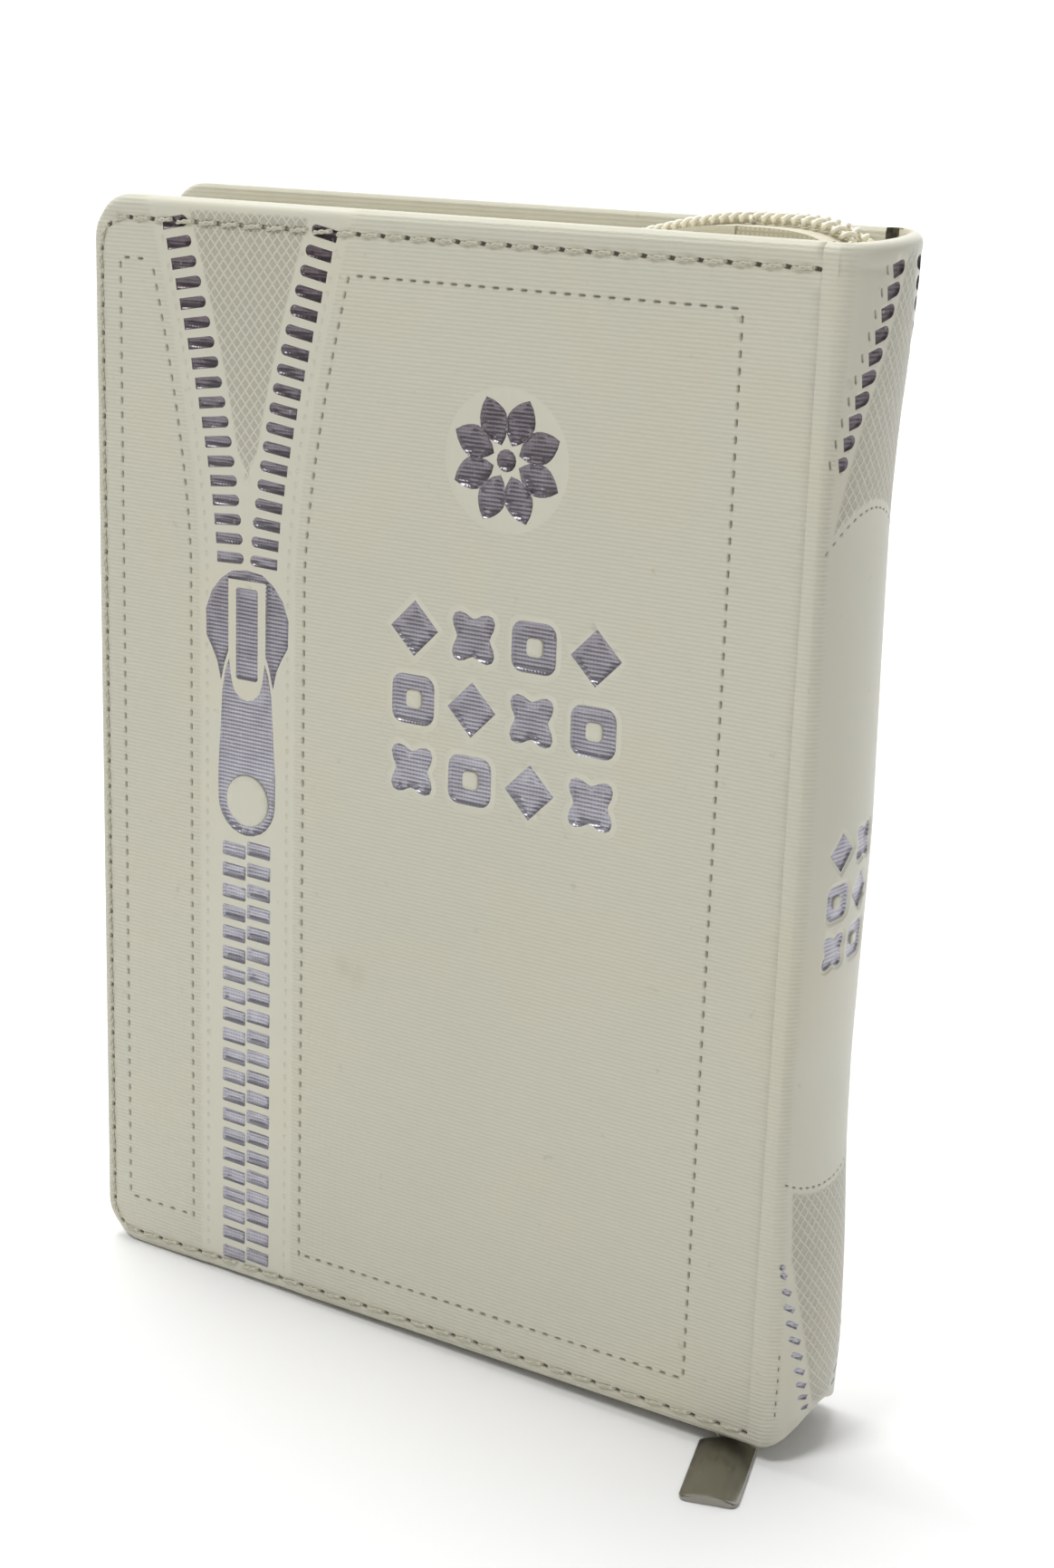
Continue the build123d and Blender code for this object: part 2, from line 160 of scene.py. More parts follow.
def lay(along, up):
    """Points on the case and their outward directions, in millimetres."""
    along, up = np.asarray(along, float), np.asarray(up, float)
    on_back = along > cover_length + spine_arc
    reach = np.where(on_back, strip_length - along, along)
    on_spine = (along >= cover_length) & ~on_back
    run = np.where(on_spine, cover_length, np.minimum(reach, cover_length))
    edge = (run - corner_radius) * spine_rise / (cover_length - corner_radius)
    far_side = smooth((along - cover_length) / spine_arc)
    z = edge + up * (book_height + back_rise * far_side - edge) / book_height
    turn = np.interp(along - cover_length, spine_arcs, spine_turns)
    bulge = bulge_at(up)
    lift = spine_corner_lift * np.maximum(0, np.sin(turn)) ** 4
    z = z + lift * np.maximum(0, 1 - up / spine_corner_reach) ** 2
    x = np.where(on_spine, x_fold + bulge * np.sin(turn), x_fore + run)
    y = y_mid - half_thickness * np.cos(turn)
    out = np.stack(
        [half_thickness * np.sin(turn), -bulge * np.cos(turn), np.zeros_like(turn)], -1
    )
    out /= np.linalg.norm(out, axis=-1)[..., None]
    return np.stack([x, y, z], -1), out


def rim_distance(along, up):
    """Distance from the case's outer edge, along the flat skin."""
    reach = np.where(along > strip_length / 2, strip_length - along, along)
    side = corner_radius - reach
    ends = np.abs(up - book_height / 2) - (book_height / 2 - corner_radius)
    outside = np.hypot(np.maximum(side, 0), np.maximum(ends, 0))
    return corner_radius - outside - np.minimum(np.maximum(side, ends), 0)


def rim_drop(distance):
    """How far the rounded rim falls away at a distance from the edge."""
    short = np.clip(rim_radius - distance, 0, rim_radius)
    return rim_radius - np.sqrt(rim_radius**2 - short**2)


def seam_offset(along, up):
    """Distance from the line of stitches."""
    reach = np.where(along > strip_length / 2, strip_length - along, along)
    level = np.minimum(np.abs(up - seam_low), np.abs(up - (book_height - seam_top)))
    return np.minimum(level, np.abs(reach - seam_fore))


def u_path(fore, low, top, end, radius, pitch):
    """Points round the three open edges of a cover, from its lower fold corner upwards."""
    points = []
    corners = [(fore + radius, low + radius, -90), (fore + radius, book_height - top - radius, 180)]
    for centre_x, centre_y, start in corners:
        steps = max(3, ceil(radius * pi / 2 / 1.2))
        for step in range(steps + 1):
            angle = radians(start - 90 * step / steps)
            points.append((centre_x + radius * cos(angle), centre_y + radius * sin(angle)))
    points = [(end, low)] + points + [(end, book_height - top)]
    return np.array(spread(points, pitch))


def spread(points, pitch, closed=False):
    """The same line with extra points, none further apart than the pitch."""
    result = []
    pairs = list(zip(points, points[1:] + points[:1] if closed else points[1:]))
    for (x0, y0), (x1, y1) in pairs:
        steps = max(1, ceil(np.hypot(x1 - x0, y1 - y0) / pitch))
        result += [(x0 + (x1 - x0) * k / steps, y0 + (y1 - y0) * k / steps) for k in range(steps)]
    return result if closed else result + [points[-1]]


# ================================================================== flat outlines
def grown(outline, amount):
    """An anticlockwise outline pushed out by an amount, or pulled in if it is negative."""
    points = np.asarray(outline, float)
    sides = np.roll(points, -1, 0) - points
    sides /= np.linalg.norm(sides, axis=1)[:, None]
    outward = np.stack([sides[:, 1], -sides[:, 0]], 1)
    before = np.roll(outward, 1, 0)
    mitre = (outward + before) / (1.05 + (outward * before).sum(1))[:, None]
    return points + amount * mitre


def inside(points, outline):
    """Which points lie in an outline."""
    x, y = points[:, 0], points[:, 1]
    result = np.zeros(len(points), bool)
    for (x0, y0), (x1, y1) in zip(outline, np.roll(outline, -1, 0)):
        if y0 != y1:
            result ^= ((y0 > y) != (y1 > y)) & (x < (x1 - x0) * (y - y0) / (y1 - y0) + x0)
    return result


def placed(outline, centre, angle=0.0, scale=1.0):
    """An outline turned by an angle in degrees, scaled and moved to a centre."""
    turn = radians(angle)
    points = np.asarray(outline, float) * scale
    x = points[:, 0] * cos(turn) - points[:, 1] * sin(turn)
    y = points[:, 0] * sin(turn) + points[:, 1] * cos(turn)
    return np.stack([x + centre[0], y + centre[1]], 1)


def circle(radius, steps=24):
    return [(radius * cos(tau * k / steps), radius * sin(tau * k / steps)) for k in range(steps)]


def dash(length, width):
    """A short stitch mark with pointed ends."""
    x, y = length / 2, width / 2
    return [(-x, 0), (-x + y, -y), (x - y, -y), (x, 0), (x - y, y), (-x + y, y)]


def tooth(length, height, round_right=True):
    """A zipper tooth: one end square and the other round."""
    y = height / 2
    x = length / 2
    cap = [(x - y + y * cos(radians(a)), y * sin(radians(a))) for a in range(-75, 76, 30)]
    outline = [(-x, y), (-x, -y), (x - y, -y)] + cap + [(x - y, y)]
    if round_right:
        return outline
    return [(-px, py) for px, py in reversed(outline)]


def rounded_box(width, height, radius):
    points = []
    for cx, cy, start in ((1, -1, -90), (1, 1, 0), (-1, 1, 90), (-1, -1, 180)):
        for step in range(5):
            angle = radians(start + 22.5 * step)
            x = cx * (width / 2 - radius) + radius * cos(angle)
            points.append((x, cy * (height / 2 - radius) + radius * sin(angle)))
    return points


def mirrored(right_half):
    """A closed outline from its right half, given from the bottom to the top."""
    return list(right_half) + [(-x, y) for x, y in reversed(right_half) if abs(x) > 1e-6]


# ================================================================== pressed surfaces
class Relief:
    """A stretch of the flat skin with shapes pressed into it."""

    def __init__(self, ground):
        self.ground = ground
        self.points = []
        self.lifts = []
        self.dulls = []
        self.edges = []
        self.shapes = []

    def line(self, points, lift=0.0, dull=-1.0, closed=True):
        """Adds a line of edges; dull is its share of ribs, or -1 to take the ground's share."""
        first = len(self.points)
        self.points += [tuple(p) for p in points]
        self.lifts += [lift] * len(points)
        self.dulls += [dull] * len(points)
        count = len(points)
        sides = count if closed else count - 1
        self.edges += [(first + k, first + (k + 1) % count) for k in range(sides)]

    def free(self, outline):
        """Whether an outline is clear of every earlier shape."""
        outline = np.asarray(outline)
        low, high = outline.min(0), outline.max(0)
        for shape in self.shapes:
            if (shape["low"] > high).any() or (shape["high"] < low).any():
                continue
            if inside(outline, shape["outer"]).any() or inside(shape["outer"], outline).any():
                return False
        return True

    def keep(self, outer, edge, inner, lift=0.0, dull=-1.0, foil=False):
        """Remembers a shape, for what is added or looked up later."""
        shape = {"outer": outer, "edge": edge, "inner": inner, "lift": lift, "dull": dull, "foil": foil}
        self.shapes.append(shape | {"low": outer.min(0), "high": outer.max(0)})

    @staticmethod
    def near(points, shape):
        """Indices of the points that lie in a shape's box."""
        return np.where((points >= shape["low"]).all(1) & (points <= shape["high"]).all(1))[0]

    def press(self, outline, depth, wall=0.2, guard=0.14, foil=False, base=0.0, dull=-1.0, nested=False):
        """Sinks an outline by a depth, or raises it if the depth is negative."""
        outline = np.asarray(outline, float)
        outer = grown(outline, guard)
        if not nested and not self.free(outer):
            return
        inner = grown(outline, -wall)
        self.line(outer, base, 0.0 if nested else -1.0)
        self.line(outline, base, dull)
        self.line(inner, base - depth, dull)
        self.keep(outer, outline, inner, base - depth, dull, foil)

    def mark(self, centre, angle, length, width, depth):
        """A stitch mark: a dash whose middle line is sunk, or raised."""
        outline = placed(dash(length, width), centre, angle)
        outer = grown(outline, 0.12)
        if not self.free(outer):
            return
        self.line(outer)
        self.line(outline)
        ridge = placed([(-length / 2 + width / 2, 0), (length / 2 - width / 2, 0)], centre, angle)
        self.line(ridge, -depth, closed=False)
        self.keep(outer, outline, outline[:0])

    def scatter(self, points):
        """Adds free points, which take the level of the shape that they lie in."""
        points = np.asarray(points, float)
        keep = np.ones(len(points), bool)
        lift = np.zeros(len(points))
        dull = np.full(len(points), -1.0)
        for shape in self.shapes:
            near = self.near(points, shape)
            hit = near[inside(points[near], shape["outer"])]
            keep[hit] = False
            if len(shape["inner"]):
                deep = near[inside(points[near], grown(shape["inner"], -0.12))]
                keep[deep] = True
                lift[deep] = shape["lift"]
                dull[deep] = shape["dull"]
        self.points += [tuple(p) for p in points[keep]]
        self.lifts += list(lift[keep])
        self.dulls += list(dull[keep])

    def triangles(self):
        """Flat points, lifts, rib shares, triangles and which of them are foil."""
        verts = [Vector(p) for p in self.points]
        made, _, faces, origins, _, _ = delaunay_2d_cdt(verts, self.edges, [], 0, 1e-5)
        flat = np.array([(v.x, v.y) for v in made])
        self.made_from = {o: k for k, sources in enumerate(origins) for o in sources}
        lift = np.array([self.lifts[o[0]] if o else 0.0 for o in origins])
        dull = np.array([self.dulls[o[0]] if o else -1.0 for o in origins])
        height, ribs, hatched = self.ground(flat[:, 0], flat[:, 1])
        ribs = np.where(dull >= 0, dull, ribs)
        faces = np.array([f for f in faces if len(f) == 3])
        middle = flat[faces].mean(1)
        foil = np.zeros(len(faces), bool)
        for shape in self.shapes:
            near = self.near(middle, shape)
            foil[near[inside(middle[near], shape["edge"])]] = shape["foil"]
        # painted shade: how much to darken the deepest pressed marks and needle holes, by their depth
        sunk = np.clip((-lift - 0.2) / 0.1, 0, 1)
        return flat, height + lift, ribs, hatched, sunk, faces, foil


# ================================================================== mesh helpers
def new_mesh(name, points_mm, faces, materials, face_slots=None, flat_shaded=False):
    """A mesh object from points in millimetres."""
    mesh = bpy.data.meshes.new(name)
    points = (np.asarray(points_mm, float) * MM).tolist()
    mesh.from_pydata(points, [], [tuple(int(i) for i in f) for f in faces])
    for material in materials:
        mesh.materials.append(material)
    if face_slots is not None:
        mesh.polygons.foreach_set("material_index", np.asarray(face_slots, np.int32))
    mesh.polygons.foreach_set("use_smooth", [not flat_shaded] * len(mesh.polygons))
    mesh.update()
    made = bpy.data.objects.new(name, mesh)
    bpy.context.scene.collection.objects.link(made)
    return made


def face_values(made, name, values):
    """A number for each point of a mesh, for its material to read."""
    made.data.attributes.new(name, "FLOAT", "POINT").data.foreach_set(
        "value", np.asarray(values, np.float32)
    )


def hatch_values(made, flat, hatched):
    """Distances across the two slants of hatching, and how much of it shows."""
    rise = flat[:, 1] * cos(radians(50))
    run = flat[:, 0] * sin(radians(50))
    face_values(made, "slant_up", rise + run)
    face_values(made, "slant_down", rise - run)
    face_values(made, "hatched", hatched)


def attach(made, body, slot_name, *replaced):
    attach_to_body(made, body)
    if replaced:
        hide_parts(*replaced)
    return made


def loops_to_faces(rows, closed=False):
    """Quads between rows of equal length, numbered one row after another."""
    count = len(rows[0])
    faces = []
    for upper, lower in zip(rows, rows[1:]):
        for k in range(count if closed else count - 1):
            n = (k + 1) % count
            faces.append((upper[k], upper[n], lower[n], lower[k]))
    return faces


# ================================================================== materials
class Shader:
    """Small helpers round one material's nodes."""

    def __init__(self, name):
        self.material = bpy.data.materials.new(name)
        self.material.use_nodes = True
        self.tree = self.material.node_tree
        self.tree.nodes.clear()
        self.out = self.tree.nodes.new("ShaderNodeOutputMaterial")
        self.surface = self.tree.nodes.new("ShaderNodeBsdfPrincipled")
        self.tree.links.new(self.surface.outputs[0], self.out.inputs[0])
        self.place = self.tree.nodes.new("ShaderNodeTexCoord").outputs["Object"]

    def link(self, value, socket):
        if isinstance(value, bpy.types.NodeSocket):
            self.tree.links.new(value, socket)
        else:
            socket.default_value = value

    def set(self, **values):
        """Sets the surface's own sockets, with _ for a space in their names."""
        for name, value in values.items():
            self.link(value, self.surface.inputs[name.replace("_", " ")])
        return self

    def math(self, operation, a, b=0.0, clamp=False):
        node = self.tree.nodes.new("ShaderNodeMath")
        node.operation = operation
        node.use_clamp = clamp
        self.link(a, node.inputs[0])
        self.link(b, node.inputs[1])
        return node.outputs[0]

    def axis(self, name):
        node = self.tree.nodes.new("ShaderNodeSeparateXYZ")
        self.tree.links.new(self.place, node.inputs[0])
        return node.outputs[name]

    def stretched(self, x=1.0, y=1.0, z=1.0):
        node = self.tree.nodes.new("ShaderNodeMapping")
        node.inputs["Scale"].default_value = (x, y, z)
        self.tree.links.new(self.place, node.inputs["Vector"])
        return node.outputs[0]

    def noise(self, size_mm, detail=3.0, rough=0.55, vector=None):
        """Noise whose lumps are about this size."""
        node = self.tree.nodes.new("ShaderNodeTexNoise")
        node.inputs["Scale"].default_value = 1 / (size_mm * MM)
        node.inputs["Detail"].default_value = detail
        node.inputs["Roughness"].default_value = rough
        self.tree.links.new(vector or self.place, node.inputs["Vector"])
        return node.outputs["Fac"]

    def waves(self, position, pitch_mm, shift=0.0):
        """A sine of this pitch along a position, from 0 to 1."""
        angle = self.math("ADD", self.math("MULTIPLY", position, tau / (pitch_mm * MM)), shift)
        return self.scaled(self.math("SINE", angle), 0.5, 0.5)

    def scaled(self, value, factor, plus=0.0):
        return self.math("ADD", self.math("MULTIPLY", value, factor), plus)

    def remap(self, value, low, high, to_low=0.0, to_high=1.0):
        node = self.tree.nodes.new("ShaderNodeMapRange")
        self.link(value, node.inputs["Value"])
        node.inputs["From Min"].default_value = low
        node.inputs["From Max"].default_value = high
        node.inputs["To Min"].default_value = to_low
        node.inputs["To Max"].default_value = to_high
        return node.outputs[0]

    def colour(self, share, first, second):
        """Between two colours."""
        node = self.tree.nodes.new("ShaderNodeMix")
        node.data_type = "RGBA"
        self.link(share, node.inputs[0])
        self.link((*first, 1) if isinstance(first, tuple) else first, node.inputs[6])
        self.link((*second, 1) if isinstance(second, tuple) else second, node.inputs[7])
        return node.outputs[2]

    def attribute(self, name):
        node = self.tree.nodes.new("ShaderNodeAttribute")
        node.attribute_name = name
        return node.outputs["Fac"]

    def bump(self, height, distance_mm, strength=1.0):
        node = self.tree.nodes.new("ShaderNodeBump")
        node.inputs["Strength"].default_value = strength
        node.inputs["Distance"].default_value = distance_mm * MM
        self.tree.links.new(height, node.inputs["Height"])
        self.tree.links.new(node.outputs[0], self.surface.inputs["Normal"])
        return self


def ivory_skin():
    """Padded leatherette with fine ribs across it, faintly stained and darker near its lower rim, with
    painted shade in its rib valleys, hatching, seam groove and deepest pressed marks.
    """
    shader = Shader("ivory_skin")
    ribs = shader.attribute("ribs")
    wander = shader.scaled(shader.noise(3.0), 1.6)
    rib = shader.waves(shader.axis("Z"), 0.64, wander)
    thread = shader.noise(0.35, 2.0, 0.6, shader.stretched(0.45, 0.45, 1.6))
    weave = shader.math("MULTIPLY", rib, ribs)
    grain = shader.noise(0.5, 3.0)
    yarn = shader.math("MULTIPLY", weave, shader.scaled(thread, 1.8, -0.1))
    height = shader.math("ADD", yarn, shader.scaled(grain, 0.3))
    slants = [
        shader.remap(shader.waves(shader.attribute(name), hatch_pitch / MM), 0.72, 0.97)
        for name in ("slant_up", "slant_down")
    ]
    crossed = shader.math("MAXIMUM", *slants)
    hatched = shader.attribute("hatched")
    height = shader.math("ADD", height, shader.math("MULTIPLY", shader.scaled(crossed, 2.2), hatched))
    mottled = shader.colour(shader.noise(45.0, 4.0), (0.55, 0.54, 0.44), (0.60, 0.585, 0.485))
    warm = shader.remap(shader.noise(28.0, 2.0), 0.52, 0.75)
    tinted = shader.colour(shader.scaled(warm, 0.35), mottled, (0.63, 0.56, 0.42))
    shade = shader.math("MULTIPLY", shader.scaled(rib, -0.28, 0.28), ribs)
    ribbed = shader.colour(shade, tinted, (0.36, 0.34, 0.25))
    specks = shader.remap(shader.noise(2.2, 2.0, 0.4), 0.73, 0.80)
    marked = shader.colour(shader.scaled(specks, 0.25), ribbed, (0.34, 0.28, 0.18))
    # darker near the lower rim, painted shade along the seam and one stain, mottled by noise
    grime_and_shade = shader.math("MULTIPLY", shader.attribute("grime_and_shade"), shader.remap(shader.noise(4.0), 0.3, 0.75))
    soiled_and_shaded = shader.colour(shader.scaled(grime_and_shade, 0.55), marked, (0.30, 0.27, 0.19))
    # painted shade in the hatching's valleys between its raised lines
    gaps = shader.math("MULTIPLY", shader.scaled(crossed, -0.42, 0.42), hatched)
    meshed = shader.colour(gaps, soiled_and_shaded, (0.20, 0.175, 0.12))
    # painted shade darkens the deepest pressed marks and needle holes
    deep = shader.colour(shader.scaled(shader.attribute("sunk"), 0.85), meshed, (0.13, 0.11, 0.075))
    shader.set(Base_Color=deep, Roughness=shader.remap(ribs, 0, 1, 0.40, 0.60))
    shader.set(Sheen_Weight=0.25, Sheen_Roughness=0.5, Specular_IOR_Level=0.4)
    return shader.bump(height, 0.09, 0.7).material


def silver_foil():
    """Stamped foil over the ribs, with a painted reflection that runs dark and reddish at the top to light
    and bluish lower down, and painted shade in the weave's lines.
    """
    shader = Shader("silver_foil")
    # painted reflection: the foil's tone runs with height, broken by patches
    level = shader.remap(shader.axis("Z"), 0.085, 0.165)
    patches = shader.noise(6.0, 3.0, 0.6, shader.stretched(1.0, 1.0, 1.6))
    level = shader.math("ADD", level, shader.scaled(patches, 0.5, -0.25), True)
    cool = shader.colour(shader.noise(3.0), (0.34, 0.33, 0.38), (0.58, 0.57, 0.62))
    dark = shader.colour(shader.noise(4.0), (0.08, 0.055, 0.065), (0.20, 0.175, 0.185))
    rib = shader.waves(shader.axis("Z"), 0.62, shader.scaled(shader.noise(3.0), 1.6))
    cross = shader.waves(shader.axis("X"), 0.55)
    woven = shader.math("MULTIPLY", rib, shader.scaled(cross, 0.5, 0.6))
    tone = shader.colour(level, cool, dark)
    # painted shade in the lines of the weave
    lined = shader.colour(shader.scaled(woven, 0.38), tone, (0.06, 0.045, 0.055))
    rubbed = shader.remap(shader.noise(0.9, 3.0, 0.6), 0.66, 0.74)
    worn = shader.colour(shader.scaled(rubbed, 0.5), lined, (0.66, 0.64, 0.53))
    shader.set(Base_Color=worn, Metallic=0.85, Roughness=0.34)
    height = shader.math("ADD", woven, shader.scaled(shader.noise(0.45), 0.8))
    return shader.bump(height, 0.07, 0.6).material


def cloth_like(name, light, dark, pitch, roughness=0.85):
    """A plain weave of cream yarn."""
    shader = Shader(name)
    across = shader.waves(shader.axis("X"), pitch)
    upward = shader.waves(shader.axis("Z"), pitch)
    deep = shader.waves(shader.axis("Y"), pitch)
    weave = shader.math("MULTIPLY", shader.math("MAXIMUM", across, upward), deep)
    fuzz = shader.noise(0.4, 3.0)
    share = shader.math("ADD", shader.scaled(weave, 0.6), shader.scaled(fuzz, 0.4))
    patched = shader.colour(shader.noise(12.0), light, tuple(0.9 * c for c in light))
    shader.set(Base_Color=shader.colour(share, patched, dark), Roughness=roughness)
    shader.set(Sheen_Weight=0.3)
    return shader.bump(share, 0.1, 0.6).material


def nylon():
    """Cream nylon wire of the zipper coil."""
    shader = Shader("cream_nylon")
    tone = shader.colour(shader.noise(5.0), (0.80, 0.76, 0.62), (0.86, 0.83, 0.70))
    shader.set(Base_Color=tone, Roughness=shader.remap(shader.noise(0.6), 0.3, 0.7, 0.35, 0.5))
    shader.set(Subsurface_Weight=0.1, Specular_IOR_Level=0.5)
    return shader.bump(shader.noise(0.3), 0.02, 0.4).material


def nickel(name="nickel", tone=(0.40, 0.39, 0.34)):
    """Plated metal, brushed faintly and dulled by handling."""
    shader = Shader(name)
    streaks = shader.noise(0.5, 3.0, 0.6, shader.stretched(1.0, 0.12, 1.0))
    smudge = shader.noise(5.0, 3.0)
    bright = tuple(min(1.0, 1.25 * c) for c in tone)
    shader.set(Base_Color=shader.colour(smudge, tone, bright), Metallic=1.0)
    shader.set(Roughness=shader.math("ADD", shader.scaled(streaks, 0.12), shader.scaled(smudge, 0.16, 0.10)))
    return shader.bump(streaks, 0.01, 0.5).material


def paper():
    """Cut edges of thin leaves, with painted shade faintly darkening the gaps between them."""
    shader = Shader("paper_leaves")
    wobble = shader.scaled(shader.noise(6.0, 2.0, 0.5, shader.stretched(0.2, 1.0, 0.2)), 6.0)
    leaves = shader.waves(shader.axis("Y"), 0.22, wobble)
    coarse = shader.noise(0.5, 2.0, 0.6, shader.stretched(0.02, 1.0, 0.02))
    share = shader.math("MULTIPLY", leaves, shader.remap(coarse, 0.3, 0.7))
    tone = shader.colour(shader.noise(30.0), (0.78, 0.74, 0.62), (0.84, 0.81, 0.71))
    shader.set(Base_Color=shader.colour(shader.scaled(share, 0.45), tone, (0.42, 0.37, 0.27)))
    shader.set(Roughness=0.8)
    return shader.bump(share, 0.06, 0.5).material


def grained(name, light, dark, size, roughness, depth=0.05):
    """A plain material with fine grain, such as board, foam or glue."""
    shader = Shader(name)
    coarse = shader.scaled(shader.noise(size), 0.6)
    share = shader.math("ADD", coarse, shader.scaled(shader.noise(size * 12), 0.4))
    shader.set(Base_Color=shader.colour(share, light, dark), Roughness=roughness)
    return shader.bump(share, depth, 0.6).material


skin_look = ivory_skin()
foil_look = silver_foil()
lining_look = cloth_like("lining_cloth", (0.72, 0.68, 0.54), (0.50, 0.45, 0.32), 0.5)
tape_look = cloth_like("tape_cloth", (0.74, 0.70, 0.55), (0.50, 0.45, 0.31), 0.7)
thread_look = cloth_like("cream_thread", (0.66, 0.64, 0.52), (0.34, 0.31, 0.22), 0.3, 0.6)
cloth_look = cloth_like("mull_cloth", (0.70, 0.68, 0.62), (0.42, 0.40, 0.34), 0.8)
coil_look = nylon()
metal_look = nickel()
# painted shade: a darker copy of the same nickel, for the pull tab
shaded_metal_look = nickel("shaded_nickel", (0.27, 0.26, 0.225))
paper_look = paper()
foam_look = grained("foam_layer", (0.72, 0.70, 0.60), (0.60, 0.57, 0.46), 0.4, 0.9, 0.2)
board_look = grained("grey_board", (0.42, 0.40, 0.36), (0.30, 0.28, 0.25), 0.6, 0.9, 0.1)
glue_look = grained("dried_glue", (0.72, 0.66, 0.48), (0.60, 0.52, 0.34), 1.2, 0.35, 0.1)


# ================================================================== the pressed zipper motif
seam_end = cover_length - hinge_reach - 0.7


def flare(up):
    """How much further apart the motif's lines are above the drawn slider."""
    rise = np.maximum(0, np.asarray(up, float) - flare_start) / (book_height - flare_start)
    return flare_reach * rise**1.55


def row_centre(up):
    """Middle of an open row of teeth, from the motif's centre."""
    return 3.2 + 1.2 * flare(up)


def hatch_half(up):
    """Half the width of the hatched ground between the open rows."""
    return np.maximum(0, row_centre(up) - 3.6) * smooth((up - hatch_apex) / 5)


def cover_base(along, up):
    """Rim and seam groove, which both covers share."""
    height = -rim_drop(rim_distance(along, up))
    height -= seam_groove * np.exp(-((seam_offset(along, up) / seam_groove_width) ** 2))
    return height


def front_ground(along, up):
    """Height and rib share of the front cover before shapes are pressed in."""
    height = cover_base(along, up)
    across = np.abs(along - motif_centre)
    band = band_half + flare(up)
    in_band = 1 - smooth((across - band) / 0.5)
    height = height - 0.12 * in_band
    in_hatch = smooth((hatch_half(up) - across) / 0.4 + 0.5) * (up > hatch_apex)
    clear = smooth((rim_distance(along, up) - 1.6) / 0.4)
    return height, 1 - in_band, in_hatch * clear


def back_ground(along, up):
    return cover_base(along, up), np.ones_like(along), np.zeros_like(along)


def grid_points(low_along, high_along, pitch, skip_rim=1.9):
    """Evenly spread free points, every other row shifted by half a pitch."""
    points = []
    for row, up in enumerate(np.arange(skip_rim, book_height - skip_rim, pitch * 0.87)):
        shift = pitch / 2 * (row % 2)
        points += [(a, up) for a in np.arange(low_along + shift, high_along, pitch)]
    return np.array(points)


def dashed(relief, start, end):
    """Pressed stitch marks along a straight line."""
    pitch, length, width, depth = frame_mark
    start, end = np.array(start, float), np.array(end, float)
    run = np.linalg.norm(end - start)
    count = int(run / pitch)
    angle = np.degrees(atan2(*(end - start)[::-1]))
    for k in range(count):
        relief.mark(start + (end - start) * (k + 0.5) / count, angle, length, width, depth)


def dashed_along(relief, side, half, low, high, pitch, length, width, depth):
    """Stitch marks up one side of the motif, following its flare."""
    up = low
    while up < high:
        slope = (flare(up + 0.5) - flare(up - 0.5)) * side
        place = (motif_centre + side * (half + float(flare(up))), up)
        relief.mark(place, np.degrees(atan2(1, slope)), length, width, depth)
        up += pitch / np.hypot(1, slope)


def seam_points(end):
    """The seam's line on a cover, the run along it, and the middle of each stitch."""
    path = u_path(seam_fore, seam_low, seam_top, end, corner_radius - seam_fore, 0.5)
    steps = np.hypot(*np.diff(path, axis=0).T)
    run = np.concatenate([[0], np.cumsum(steps)])
    count = int(run[-1] / stitch_pitch)
    middles = (np.arange(count) + 0.5) * run[-1] / count
    return path, run, middles


def at_run(path, run, distance):
    return np.array([np.interp(distance, run, path[:, 0]), np.interp(distance, run, path[:, 1])])


def needle_holes(relief, flip=False):
    """Short holes between the edge stitches."""
    path, run, middles = seam_points(seam_end)
    spacing = middles[1] - middles[0]
    for middle in np.concatenate([middles - spacing / 2, middles[-1:] + spacing / 2]):
        x, y = at_run(path, run, middle)
        ahead = at_run(path, run, middle + 0.3) - at_run(path, run, middle - 0.3)
        angle = np.degrees(atan2(ahead[1], -ahead[0] if flip else ahead[0]))
        hole = placed(rounded_box(1.3, 0.8, 0.38), (strip_length - x if flip else x, y), angle - 8)
        relief.press(hole, 0.5, wall=0.16, guard=0.12)


def seam_free_points(flip=False):
    """Closely spaced free points beside the seam, so that its groove reads."""
    points = []
    for offset in (-1.1, -0.55, 0.0, 0.55, 1.1, 1.8):
        path = u_path(
            seam_fore + offset if offset > -0.3 else seam_fore + offset * 0.3,
            seam_low + offset if offset > -0.6 else seam_low - 0.45,
            seam_top + offset,
            cover_length - hinge_reach - 0.3,
            max(2.0, corner_radius - seam_fore - offset),
            0.9,
        )
        points += [(strip_length - a if flip else a, up) for a, up in path]
    points = np.array(points)
    return points[rim_distance(points[:, 0], points[:, 1]) > rim_radius + 0.15]


def band_free_points():
    """Free points along the smooth band's two borders."""
    points = []
    for up in np.arange(rim_radius + 0.3, book_height - rim_radius - 0.3, 0.9):
        for offset in (-0.1, 0.25, 0.6):
            reach = band_half + float(flare(up)) + offset
            points += [(motif_centre - reach, up), (motif_centre + reach, up)]
    return np.array(points)


def hatch_free_points():
    """A fine grid under the hatching."""
    pitch = 0.3
    points = []
    for up in np.arange(hatch_apex, book_height - rim_radius - 0.2, pitch):
        half = float(hatch_half(up)) + 0.4
        if half > 0.6:
            points += [(motif_centre + x, up) for x in np.arange(-half, half, pitch)]
    return np.array(points)


def open_teeth(relief):
    """Two rows of teeth that part above the slider."""
    up = flare_start + 2.2
    while up < book_height - 3.4:
        for side in (-1, 1):
            slope = (row_centre(up + 0.5) - row_centre(up - 0.5)) * side
            tilt = -np.degrees(atan2(slope, 1)) * 0.6
            centre = (motif_centre + side * float(row_centre(up)), up)
            length = 5.3 - 0.6 * smooth((up - 150) / 30)
            outline = tooth(length, 1.75, round_right=side < 0)
            relief.press(placed(outline, centre, tilt), foil_depth, foil=True, dull=0.0)
        up += 2.95


